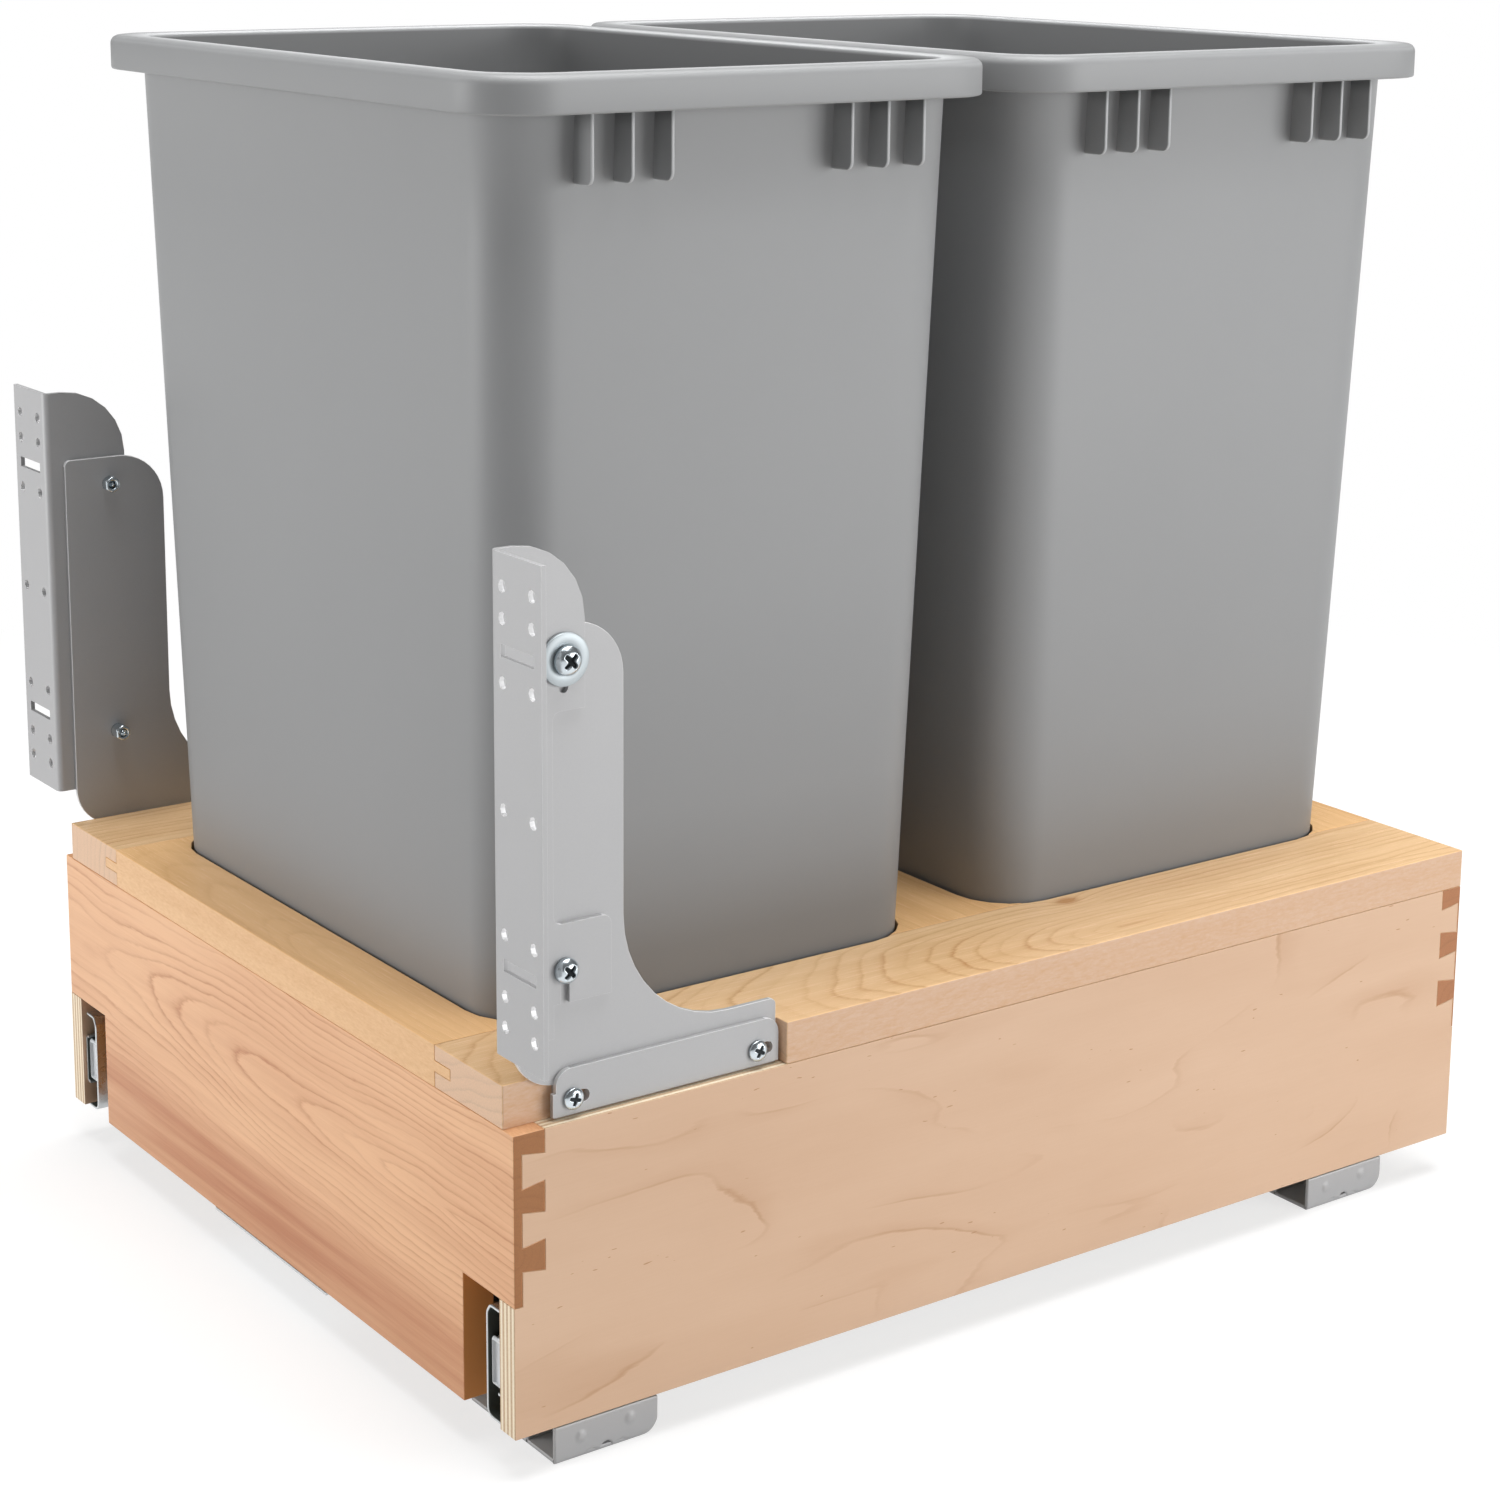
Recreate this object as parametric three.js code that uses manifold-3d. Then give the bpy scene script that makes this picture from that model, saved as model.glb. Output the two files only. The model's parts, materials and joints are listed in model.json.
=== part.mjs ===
// A pull-out waste unit for a floor cabinet: two tapered plastic bins hang in the framed top of a
// dovetailed wooden tray, which rides on full-extension ball-bearing slides above four floor
// brackets. Two adjustable steel brackets at the front carry the cabinet's door.
//
// Millimetres, +Z up, +X to the right when facing the unit, +Y towards the back of the cabinet.
// Z = 0 is the floor. While the unit is drawn, Y = 0 is the front face of the tray's front board;
// the whole unit is moved at the end so that its own middle lies over the origin.

import * as THREE from "three";
import { mergeVertices } from "three/addons/utils/BufferGeometryUtils.js";
import Module from "manifold-3d";

const wasm = await Module();
wasm.setup();

// ---------------------------------------------------------------- driving dimensions

const seatGap = 0.3; // left between pieces that touch
const cutPast = 1; // a cutting solid reaches this far past the face it opens

// wooden tray
const trayWidth = 448;
const trayLift = 20; // from the floor to the underside of the boards
const boardHeight = 135;
const frontBoardThickness = 15;
const rearBoardThickness = 13;
const sideBoardThickness = 12;
const slideBayWidth = 42; // corner cut out of the front and rear boards for a slide
const slideBayHeight = 59;
const bottomPanelThickness = 9;
const bottomPanelRise = 6; // underside of the panel above the underside of the boards
const panelGrooveDepth = 5;
const panelSideClearance = 2; // from the panel's edge to the slide bay
const underPlateWidth = 114; // thin plate under the front board
const underPlateThickness = 1.3;

// dovetails
const tailCount = 3;
const tailEndWidth = 15.1;
const tailNeckWidth = 11.6;
const topPinHeight = 9.2;
const frontLap = 4.2;
const rearLap = 1.2;

// framed top
const frameThickness = 19;
const sideRailWidth = 63.7;
const frontRailWidth = 31.2;
const rearRailWidth = 27.2;
const tongueLength = 13;
const tongueThickness = 4.6;
const binClearance = 1.8; // cut-out around a bin
const cutOutRadius = 30;
const bracketRecessDepth = 8.2; // step in the rail's outer edge for a door bracket
const bracketRecessSpare = 2.2; // free length behind the bracket's foot

// bins
const binRimWidth = 383; // across the unit
const binRimLength = 265; // front to back
const binRimRadius = 32;
const binHeight = 545;
const binGap = 11; // between the two rims
const binWall = 2.4;
const binCornerRadius = 28;
const binSideDraft = 0.041; // how much each side leans in, per unit of height
const binEndDraft = 0.016;
const binBaseRound = 9;
const rimOverhangX = 13.6; // from the wall to the outside of the rim
const rimOverhangY = 12;
const skirtHeight = 16.1;
const skirtThickness = 2.2;
const rimRound = 4;
const finCount = 3; // stiffening fins in a group, two groups on each end of the rim
const finPitch = 19.5;
const finGroupOffset = 65.7;
const finDrop = 29;
const finThickness = 1.6;
const finCornerRound = 4;

// ball-bearing slides
const slideLength = 550;
const slideHeight = 52;
const slideSetBack = 1.6;
const slideMetal = 1.4;
const slideDepth = 13.6; // from the back of the cabinet member to the back of the drawer member
const middleMemberOffset = 5.9; // from the cabinet member's back to the middle member's web
const middleMemberLength = 520;
const middleMemberSetBack = 9;
const memberLap = 2; // a drawer member's flange tips stop this far off the middle member's web
const ballDiameter = 4.4;
const ballsPerRow = 3;
const retainerLength = 150;
const retainerStart = 150; // behind the front end of the cabinet member
const retainerMetal = 0.7;
const retainerWebGap = 0.8;
const flangeTipGap = 2.8; // slide flanges end this far from the side board
const bumperLength = 9;
const bumperSetBack = 2.6;
const bumperHeight = 16.1;

// floor brackets
const footLength = 52;
const footFrontStart = 22;
const footRearInset = 30; // from the rear end of the slide to the rear foot
const footMetal = 2;
const footInnerReach = 70.5; // from the outer face of the foot to the end of its floor plate
const footInset = 3.5; // outer face of the foot inside the tray's side face
const footSideHeight = 16.5;
const footUprightHeight = 52;
const footCornerRadius = 7;
const footDrainRadius = 3;

// door brackets
const bracketMetal = 2;
const sidePlateFront = 4;
const sidePlateRear = 57.5;
const sidePlateHeight = 209.5; // top of the plate above the bottom of the recess
const sidePlateTopRadius = 24;
const sidePlateFootRadius = 53; // hollow curve from the upright into the foot
const sidePlateFootHeight = 29;
const sidePlateHeelRadius = 21;
const sidePlateHeelHeight = 15;
const sidePlateHeelStep = 2; // the plate's foot starts this far behind the clamp
const sidePlateCorner = 3;
const bracketFootFront = 21.5;
const bracketFootRear = 136;
const footClampHeight = 20;
const footClampRadius = 7;
const footClampRise = 1.5; // underside of the clamp above the bottom of the recess
const footClampStep = 1.5;
const doorAngleHeight = 208.5;
const doorAngleTop = 244.5; // top of the door angle above the bottom of the recess
const doorAngleProud = 5; // the door face stands this far in front of the tray
const doorFlangeWidth = 38;
const doorBendRadius = 3;
const doorTabCorner = 4;
const doorSideNarrow = 22; // rear edge of the side flange between its tabs
const doorTabRear = 37.5;
const doorTopRadius = 33;
const upperTabHeight = 70;
const lowerTabRear = 50;
const lowerTabBottom = 50.5;
const lowerTabHeight = 34;
const doorHoleRadius = 2.9;
const doorHolePitch = 13;
const doorHoleEdge = 6.8; // outer column of holes from the free edge
const doorHoleColumnGap = 22.2;
const doorHoleRows = [-7, -6, -4, 0, 4, 6, 7]; // steps from the middle of the flange
const doorSlotRows = [-5, 5];
const doorSlotEdge = 5.3;
const doorSlotLength = 25;
const doorSlotWidth = 5.4;
const adjustScrewY = 27.5;
const upperScrewRise = 195.8; // above the bottom of the recess
const lowerScrewRise = 64.8;
const adjustSlotWidth = 4.6;
const adjustSlotTravel = 12; // how far the slots run down from the screws
const footScrewRise = 8.2;
const footSlotWidth = 6;
const footSlotTravel = 5.5;
const frontFootScrewY = 31;
const rearFootScrewY = 124.8;

// screws, washers and nuts: head radius, head height, shank radius, shank length
const adjustScrew = { head: 6.2, height: 4.6, shank: 2, length: 12 };
const lowerScrew = { head: 5.5, height: 4.8, shank: 2, length: 14 };
const footScrew = { head: 4.7, height: 2.6, shank: 1.8, length: 18 };
const slideScrew = { head: 3.6, height: 1.2, shank: 1.6, length: 9 };
const slideScrewInset = 60; // from either end of the slide
const washerRadius = 11.2;
const washerThickness = 1.6;
const nutAcrossCorners = 8.4;
const upperNutLength = 5;
const lowerNutLength = 7.5;
const boltHeadRadius = 4.2;
const boltHeadHeight = 1.2;
const boltShankRadius = 2.4;
const boltTailLength = 4;
const crossRecess = { width: 1.5, length: 5.2, depth: 1.6 };

// ---------------------------------------------------------------- places worked out from the sizes

const boardBottom = trayLift;
const boardTop = boardBottom + boardHeight;
const frameTop = boardTop + frameThickness;
const sideFace = trayWidth / 2;
const sideInner = sideFace - sideBoardThickness;
const bayInner = sideFace - slideBayWidth;
const bayTop = boardBottom + slideBayHeight;
const panelBottom = boardBottom + bottomPanelRise;
const panelTop = panelBottom + bottomPanelThickness;
const panelHalfWidth = bayInner - panelSideClearance;
const railInner = sideFace - sideRailWidth;

const binBottom = panelTop + seatGap;
const rimTop = binBottom + binHeight;
const skirtBottom = rimTop - skirtHeight;
const wallTopHalfX = binRimWidth / 2 - rimOverhangX;
const wallTopHalfY = binRimLength / 2 - rimOverhangY;
const wallHalfX = (z) => wallTopHalfX - (rimTop - z) * binSideDraft;
const wallHalfY = (z) => wallTopHalfY - (rimTop - z) * binEndDraft;
const cutOutHalfX = wallHalfX(frameTop) + binClearance;
const cutOutHalfY = wallHalfY(frameTop) + binClearance;
const frontBinCentre = frontRailWidth + cutOutHalfY;
const rearBinCentre = frontBinCentre + binRimLength + binGap;
const binCentres = { front_bin: frontBinCentre, rear_bin: rearBinCentre };
const trayDepth = rearBinCentre + cutOutHalfY + rearRailWidth;

const slideBack = sideInner - seatGap - slideDepth; // inward face of the cabinet member
const slideMiddle = boardBottom + slideHeight / 2;
const slideEnd = slideSetBack + slideLength;
const slideScrewY = [slideSetBack + slideScrewInset, slideEnd - slideScrewInset];
const footRearStart = slideEnd - footRearInset - footLength;
const flangeTip = sideInner - flangeTipGap;
const cabinetHalf = slideHeight / 2;
const rowGap = ballDiameter + 2 * seatGap;
const middleHalf = cabinetHalf - slideMetal - rowGap;
const drawerHalf = middleHalf - slideMetal - rowGap;
const middleWeb = slideBack + middleMemberOffset;
const drawerBack = sideInner - seatGap;
const drawerTip = middleWeb + slideMetal + memberLap;

const recessWall = sideFace - bracketRecessDepth;
const recessEnd = bracketFootRear + bracketRecessSpare;
const platePlane = recessWall + seatGap; // inner face of the bracket's side plate
const plateOuter = platePlane + bracketMetal;
const outerPlane = plateOuter + seatGap; // inner face of the door angle and of the foot clamp
const outerFace = outerPlane + bracketMetal;
const recessBottom = boardTop;
const doorFace = -doorAngleProud;
const doorFlangeEnd = outerPlane + doorFlangeWidth;
const doorTop = recessBottom + doorAngleTop;
const doorBottom = doorTop - doorAngleHeight;

// ---------------------------------------------------------------- solids

// Half the number of facets of each drawn arc.
const arcSteps = 3;
const fineArcSteps = 5;
const cornerSteps = 5; // facets of each round corner of a bin
const quarterTurn = Math.PI / 2;

// A closed three.js geometry as a solid that can be joined and cut.
function solidOf(geometry) {
  const bare = geometry.clone();
  bare.deleteAttribute("normal");
  bare.deleteAttribute("uv");
  const merged = mergeVertices(bare, 1e-4);
  return new wasm.Manifold(
    new wasm.Mesh({
      numProp: 3,
      vertProperties: new Float32Array(merged.attributes.position.array),
      triVerts: new Uint32Array(merged.index.array),
    }),
  );
}

// The solid's faces as a three.js geometry.
function geometryOf(solid) {
  const faces = solid.getMesh();
  const geometry = new THREE.BufferGeometry();
  geometry.setAttribute("position", new THREE.BufferAttribute(faces.vertProperties, 3));
  geometry.setIndex(new THREE.BufferAttribute(faces.triVerts, 1));
  geometry.computeVertexNormals();
  return geometry;
}

function block(x0, x1, y0, y1, z0, z1) {
  const geometry = new THREE.BoxGeometry(x1 - x0, y1 - y0, z1 - z0);
  geometry.translate((x0 + x1) / 2, (y0 + y1) / 2, (z0 + z1) / 2);
  return solidOf(geometry);
}

function extruded(shape, depth, basis, offset, steps = arcSteps) {
  const options = { depth, bevelEnabled: false, curveSegments: steps };
  const geometry = new THREE.ExtrudeGeometry(shape, options);
  geometry.applyMatrix4(basis);
  geometry.translate(offset.x, offset.y, offset.z);
  return solidOf(geometry);
}

// A shape drawn in Y and Z, as thick as from x0 to x1.
function alongX(shape, x0, x1, steps) {
  const basis = new THREE.Matrix4().makeBasis(
    new THREE.Vector3(0, 1, 0),
    new THREE.Vector3(0, 0, 1),
    new THREE.Vector3(1, 0, 0),
  );
  return extruded(shape, x1 - x0, basis, new THREE.Vector3(x0, 0, 0), steps);
}

// A shape drawn in X and Z, as long as from y0 to y1.
function alongY(shape, y0, y1) {
  const basis = new THREE.Matrix4().makeBasis(
    new THREE.Vector3(1, 0, 0),
    new THREE.Vector3(0, 0, 1),
    new THREE.Vector3(0, -1, 0),
  );
  return extruded(shape, y1 - y0, basis, new THREE.Vector3(0, y1, 0));
}

// A shape drawn in X and Y, as high as from z0 to z1.
function alongZ(shape, z0, z1) {
  return extruded(shape, z1 - z0, new THREE.Matrix4(), new THREE.Vector3(0, 0, z0));
}

function polygon(points) {
  return new THREE.Shape(points.map(([a, b]) => new THREE.Vector2(a, b)));
}

// A round bar or hole along X, centred on y and z.
function barX(radius, x0, x1, y, z, sides = 10) {
  const geometry = new THREE.CylinderGeometry(radius, radius, x1 - x0, sides);
  geometry.rotateZ(-Math.PI / 2);
  geometry.translate((x0 + x1) / 2, y, z);
  return solidOf(geometry);
}

function barY(radius, y0, y1, x, z, sides = 8) {
  const geometry = new THREE.CylinderGeometry(radius, radius, y1 - y0, sides);
  geometry.translate(x, (y0 + y1) / 2, z);
  return solidOf(geometry);
}

// A slot with round ends in Y and Z, between two end centres.
function slotShape(y0, z0, y1, z1, width) {
  const turn = Math.atan2(z1 - z0, y1 - y0);
  const shape = new THREE.Shape();
  shape.absarc(y1, z1, width / 2, turn - Math.PI / 2, turn + Math.PI / 2, false);
  shape.absarc(y0, z0, width / 2, turn + Math.PI / 2, turn + (3 * Math.PI) / 2, false);
  shape.closePath();
  return shape;
}

// Points around a rectangle with round corners, counter-clockwise, at one height.
function roundedRing(halfX, halfY, radius, z, centreY) {
  const corners = [
    [1, -1],
    [1, 1],
    [-1, 1],
    [-1, -1],
  ];
  return corners.flatMap(([sideX, sideY], corner) =>
    Array.from({ length: cornerSteps + 1 }, (_, step) => {
      const angle = quarterTurn * (corner - 1 + step / cornerSteps);
      return new THREE.Vector3(
        sideX * (halfX - radius) + radius * Math.cos(angle),
        centreY + sideY * (halfY - radius) + radius * Math.sin(angle),
        z,
      );
    }),
  );
}

// A skin over rings of as many points each, closed by a fan at either end.
function lofted(rings) {
  const count = rings[0].length;
  const middle = (ring) =>
    ring.reduce((sum, p) => sum.add(p), new THREE.Vector3()).divideScalar(ring.length);
  const points = rings.flat();
  points.push(middle(rings[0]), middle(rings[rings.length - 1]));
  const firstMiddle = points.length - 2;
  const lastMiddle = points.length - 1;
  const lastStart = (rings.length - 1) * count;
  const faces = [];
  for (let i = 0; i < count; i++) {
    const next = (i + 1) % count;
    faces.push(firstMiddle, next, i);
    faces.push(lastMiddle, lastStart + i, lastStart + next);
    for (let start = 0; start < lastStart; start += count) {
      faces.push(start + i, start + next, start + count + next);
      faces.push(start + i, start + count + next, start + count + i);
    }
  }
  const geometry = new THREE.BufferGeometry().setFromPoints(points);
  geometry.setIndex(faces);
  return solidOf(geometry);
}

// A turned piece along X. Its profile of [radius, x] pairs starts and ends on the axis, low end first.
function turnedX(profile, y, z, sides = 10) {
  const points = profile.map(([radius, x]) => new THREE.Vector2(radius, x));
  const geometry = new THREE.LatheGeometry(points, sides);
  geometry.rotateZ(-Math.PI / 2);
  geometry.translate(0, y, z);
  return solidOf(geometry);
}

// ---------------------------------------------------------------- finishes

function finish(colour, roughness, metalness) {
  return new THREE.MeshStandardMaterial({ color: colour, roughness, metalness });
}

const lightMaple = finish("#ddb78e", 0.42, 0);
const frontMaple = finish("#d9aa82", 0.42, 0);
const frameMaple = finish("#d8b182", 0.35, 0);
const plywood = finish("#d6b890", 0.6, 0);
const greyPlastic = finish("#8f8f8f", 0.5, 0);
const paleNylon = finish("#c9ccd0", 0.5, 0);
const galvanised = finish("#c3c7c9", 0.35, 0.9);
const darkCage = finish("#3a3d3b", 0.5, 0.4);
const coatedSteel = finish("#b9babc", 0.5, 0.2);
const brightZinc = finish("#d4dadd", 0.22, 1);

// ---------------------------------------------------------------- wooden tray

// Height limits of each tail, lowest first: [low, high] at its wide end or at its neck.
function tailSpans(width) {
  const jointHeight = boardHeight - slideBayHeight;
  const spacing = (jointHeight - topPinHeight - tailEndWidth) / (tailCount - 1);
  return Array.from({ length: tailCount }, (_, i) => {
    const centre = bayTop + tailEndWidth / 2 + i * spacing;
    return [centre - width / 2, centre + width / 2];
  });
}

// The end of a side board as seen from the side, from bottom to top: the lowest tail grows out of
// the full-length lower part, the others stand free between the pins.
function tailPath(boardThickness, lap) {
  const ends = tailSpans(tailEndWidth);
  const necks = tailSpans(tailNeckWidth);
  const neck = boardThickness + seatGap;
  const path = [
    [0, boardBottom],
    [0, bayTop - seatGap],
    [lap, bayTop - seatGap],
  ];
  ends.forEach(([endLow, endHigh], i) => {
    if (i > 0) {
      path.push([neck, necks[i][0]], [lap, endLow]);
    }
    path.push([lap, endHigh], [neck, necks[i][1]]);
  });
  path.push([neck, boardTop - seatGap]);
  return path;
}

// The end of the front or rear board as seen from the side: a lap in front of the tails and the
// pins between them.
function pinPath(boardThickness, lap) {
  const ends = tailSpans(tailEndWidth);
  const necks = tailSpans(tailNeckWidth);
  const depth = lap - seatGap;
  const path = [
    [0, bayTop],
    [depth, bayTop],
  ];
  ends.forEach(([endLow, endHigh], i) => {
    if (i > 0) {
      path.push([boardThickness, necks[i][0] - seatGap], [depth, endLow - seatGap]);
    }
    path.push([depth, endHigh + seatGap], [boardThickness, necks[i][1] + seatGap]);
  });
  path.push([boardThickness, boardTop - seatGap], [0, boardTop - seatGap]);
  return path;
}

const fromRear = ([y, z]) => [trayDepth - y, z];

function sideBoard() {
  const front = tailPath(frontBoardThickness, frontLap);
  const rear = tailPath(rearBoardThickness, rearLap).map(fromRear).reverse();
  let board = alongX(polygon([...front, ...rear]), sideInner, sideFace);
  for (const y of slideScrewY) {
    const pilot = slideScrew.shank + seatGap;
    board = board.subtract(barX(pilot, sideInner - cutPast, sideInner + slideScrew.length, y, slideMiddle));
  }
  return board;
}

// A board across the tray, with its lower corners cut away for the slides. Its pins are drawn from
// the side and grow out of the board's own thickness.
function crossBoard(thickness, lap, atRear) {
  const inner = sideInner - seatGap;
  const pinRoot = thickness / 2;
  const slab = polygon([
    [-bayInner, boardBottom],
    [bayInner, boardBottom],
    [bayInner, bayTop],
    [inner, bayTop],
    [inner, boardTop - seatGap],
    [-inner, boardTop - seatGap],
    [-inner, bayTop],
    [-bayInner, bayTop],
  ]);
  const place = atRear ? fromRear : (point) => point;
  const pins = polygon(pinPath(thickness, lap).map(place));
  const [y0, y1] = atRear ? [trayDepth - thickness, trayDepth] : [0, thickness];
  const grooveStart = atRear ? y0 - cutPast : y1 - panelGrooveDepth;
  const grooveEnd = atRear ? y0 + panelGrooveDepth : y1 + cutPast;
  const groove = block(
    -panelHalfWidth - seatGap,
    panelHalfWidth + seatGap,
    grooveStart,
    grooveEnd,
    panelBottom - seatGap,
    panelTop + seatGap,
  );
  return alongY(slab, y0, y1)
    .add(alongX(pins, inner - pinRoot, sideFace))
    .add(alongX(pins, -sideFace, -inner + pinRoot))
    .subtract(groove);
}

function bottomPanel() {
  const y0 = frontBoardThickness - panelGrooveDepth + seatGap;
  const y1 = trayDepth - rearBoardThickness + panelGrooveDepth - seatGap;
  return block(-panelHalfWidth, panelHalfWidth, y0, y1, panelBottom, panelTop);
}

function underPlate() {
  const half = underPlateWidth / 2;
  const top = boardBottom - seatGap;
  return block(-half, half, 0, frontBoardThickness, top - underPlateThickness, top);
}

// ---------------------------------------------------------------- framed top

// Front and rear edge of each cross rail, front rail first.
function crossRailSpans() {
  const edges = Object.values(binCentres).flatMap((centre) => [
    centre - cutOutHalfY,
    centre + cutOutHalfY,
  ]);
  return { front_rail: [0, edges[0]], middle_rail: [edges[1], edges[2]], rear_rail: [edges[3], trayDepth] };
}

// The two openings for the bins.
function cutOuts() {
  return Object.values(binCentres).map((centre) => {
    const ring = roundedRing(cutOutHalfX, cutOutHalfY, cutOutRadius, 0, centre);
    const shape = polygon(ring.map((p) => [p.x, p.y]));
    return alongZ(shape, boardTop - cutPast, frameTop + cutPast);
  });
}

// The tongue on the right-hand end of a cross rail, or with a larger gap the groove it slides into.
function tongue([y0, y1], gap) {
  const middle = boardTop + frameThickness / 2;
  const half = tongueThickness / 2 + gap;
  const openEnd = gap > 0 ? cutPast : 0;
  const start = y0 - (y0 > 0 ? gap : openEnd);
  const end = y1 + (y1 < trayDepth ? gap : openEnd);
  const tip = railInner + tongueLength + gap;
  return block(railInner - cutPast, tip, start, end, middle - half, middle + half);
}

function sideRail() {
  const outline = polygon([
    [railInner + seatGap, 0],
    [recessWall, 0],
    [recessWall, recessEnd],
    [sideFace, recessEnd],
    [sideFace, trayDepth],
    [railInner + seatGap, trayDepth],
  ]);
  let rail = alongZ(outline, boardTop, frameTop);
  for (const opening of cutOuts()) {
    rail = rail.subtract(opening);
  }
  for (const span of Object.values(crossRailSpans())) {
    rail = rail.subtract(tongue(span, seatGap));
  }
  for (const y of [frontFootScrewY, rearFootScrewY]) {
    const end = footClampOuter() - footScrew.length;
    const z = recessBottom + footScrewRise;
    rail = rail.subtract(barX(footScrew.shank + seatGap, end - seatGap, recessWall + cutPast, y, z));
  }
  return rail;
}

// A rail across the frame between its two tongues. The openings' round corners reach a little way
// past the cut-out edges, so the rail starts as a wider plank and the openings are cut out of it.
function crossRail(span) {
  const [y0, y1] = span;
  const front = y0 > 0 ? y0 - cutOutRadius : y0;
  const rear = y1 < trayDepth ? y1 + cutOutRadius : y1;
  let rail = block(-railInner, railInner, front, rear, boardTop, frameTop);
  for (const opening of cutOuts()) {
    rail = rail.subtract(opening);
  }
  const right = tongue(span, 0);
  const left = solidOf(mirroredX(geometryOf(right)));
  return rail.add(right).add(left);
}

function mirroredX(geometry) {
  const mirrored = geometry.clone().applyMatrix4(new THREE.Matrix4().makeScale(-1, 1, 1));
  const index = mirrored.index.array;
  for (let i = 0; i < index.length; i += 3) {
    [index[i + 1], index[i + 2]] = [index[i + 2], index[i + 1]];
  }
  return mirrored;
}

// ---------------------------------------------------------------- bins

function bin(centre) {
  const halfRimX = binRimWidth / 2;
  const halfRimY = binRimLength / 2;
  const skirtInnerRadius = binRimRadius - skirtThickness;
  const shelf = rimTop - skirtThickness;
  const outer = (z, inset) =>
    roundedRing(wallHalfX(z) - inset, wallHalfY(z) - inset, binCornerRadius - inset, z, centre);
  const rim = (z, inset) =>
    roundedRing(halfRimX - inset, halfRimY - inset, binRimRadius - inset, z, centre);
  const floor = binBottom + binWall;
  const shoulder = rimRound * (1 - Math.SQRT1_2);
  const foot = binBaseRound * (1 - Math.SQRT1_2);
  const shell = lofted([
    outer(binBottom, binBaseRound),
    outer(binBottom + foot, foot),
    outer(binBottom + binBaseRound, 0),
    outer(shelf, 0),
    roundedRing(halfRimX - skirtThickness, halfRimY - skirtThickness, skirtInnerRadius, shelf, centre),
    rim(skirtBottom, skirtThickness),
    rim(skirtBottom, 0),
    rim(rimTop - rimRound, 0),
    rim(rimTop - shoulder, shoulder),
    rim(rimTop, rimRound),
    outer(rimTop, binWall),
    outer(floor + binBaseRound, binWall),
    outer(floor, binWall + binBaseRound),
  ]);
  return finPlaces().reduce((whole, [side, y]) => whole.add(fin(side, centre + y)), shell);
}

// Side and distance from the middle of the bin of every fin under the rim's short ends.
function finPlaces() {
  const offsets = Array.from({ length: finCount }, (_, i) => (i - (finCount - 1) / 2) * finPitch);
  return [-1, 1].flatMap((side) =>
    [-finGroupOffset, finGroupOffset].flatMap((group) => offsets.map((y) => [side, group + y])),
  );
}

// One upright fin that joins the wall to the skirt and runs down below it.
function fin(side, y) {
  const bottom = skirtBottom - finDrop;
  const edge = binRimWidth / 2 - skirtThickness / 2;
  const top = rimTop - skirtThickness / 2;
  const embed = binWall / 2;
  const shape = new THREE.Shape();
  shape.moveTo(wallHalfX(bottom) - embed, bottom);
  shape.lineTo(edge - finCornerRound, bottom);
  shape.absarc(edge - finCornerRound, bottom + finCornerRound, finCornerRound, -Math.PI / 2, 0, false);
  shape.lineTo(edge, top);
  shape.lineTo(wallHalfX(top) - embed, top);
  shape.closePath();
  const plate = alongY(shape, y - finThickness / 2, y + finThickness / 2);
  return side > 0 ? plate : solidOf(mirroredX(geometryOf(plate)));
}

// ---------------------------------------------------------------- slides, drawn for the right side

// A C-shaped channel along Y: a web at one depth and two flanges that end at another.
function channel(webX, tipX, half, metal, y0, y1) {
  const inner = webX + Math.sign(tipX - webX) * metal;
  const low = slideMiddle - half;
  const high = slideMiddle + half;
  return alongY(
    polygon([
      [webX, low],
      [tipX, low],
      [tipX, low + metal],
      [inner, low + metal],
      [inner, high - metal],
      [tipX, high - metal],
      [tipX, high],
      [webX, high],
    ]),
    y0,
    y1,
  );
}

function cabinetMember() {
  const webFace = slideBack + slideMetal;
  let member = channel(slideBack, flangeTip, cabinetHalf, slideMetal, slideSetBack, slideEnd);
  for (const y of footBoltPlaces()) {
    const hole = barX(boltShankRadius + seatGap, slideBack - cutPast, webFace + cutPast, y, slideMiddle);
    member = member.subtract(hole);
  }
  return member;
}

function middleMember() {
  const end = middleMemberSetBack + middleMemberLength;
  return channel(middleWeb, flangeTip, middleHalf, slideMetal, middleMemberSetBack, end);
}

function drawerMember() {
  const webFace = drawerBack - slideMetal;
  let member = channel(drawerBack, drawerTip, drawerHalf, slideMetal, slideSetBack, slideEnd);
  for (const y of slideScrewY) {
    const hole = barX(slideScrew.shank + seatGap, webFace - cutPast, drawerBack + cutPast, y, slideMiddle);
    member = member.subtract(hole);
  }
  return member;
}

// A thin cage along Y that holds a row of balls above and a row below, between two members.
function ballRetainer(webX, ballX, outerHalf, innerHalf) {
  const row = (outerHalf + innerHalf) / 2;
  const y0 = slideSetBack + retainerStart;
  const tip = ballX + ballDiameter / 2 - seatGap;
  let cage = channel(webX, tip, row + retainerMetal / 2, retainerMetal, y0, y0 + retainerLength);
  const ballPitch = retainerLength / ballsPerRow;
  for (let i = 0; i < ballsPerRow; i++) {
    for (const side of [-1, 1]) {
      const ball = new THREE.SphereGeometry(ballDiameter / 2, 6, 4);
      ball.translate(ballX, y0 + ballPitch * (i + 0.5), slideMiddle + side * row);
      cage = cage.add(solidOf(ball));
    }
  }
  return cage;
}

function outerRetainer() {
  const webX = middleWeb - retainerMetal - retainerWebGap;
  return ballRetainer(webX, (middleWeb + flangeTip) / 2, cabinetHalf - slideMetal, middleHalf);
}

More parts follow.
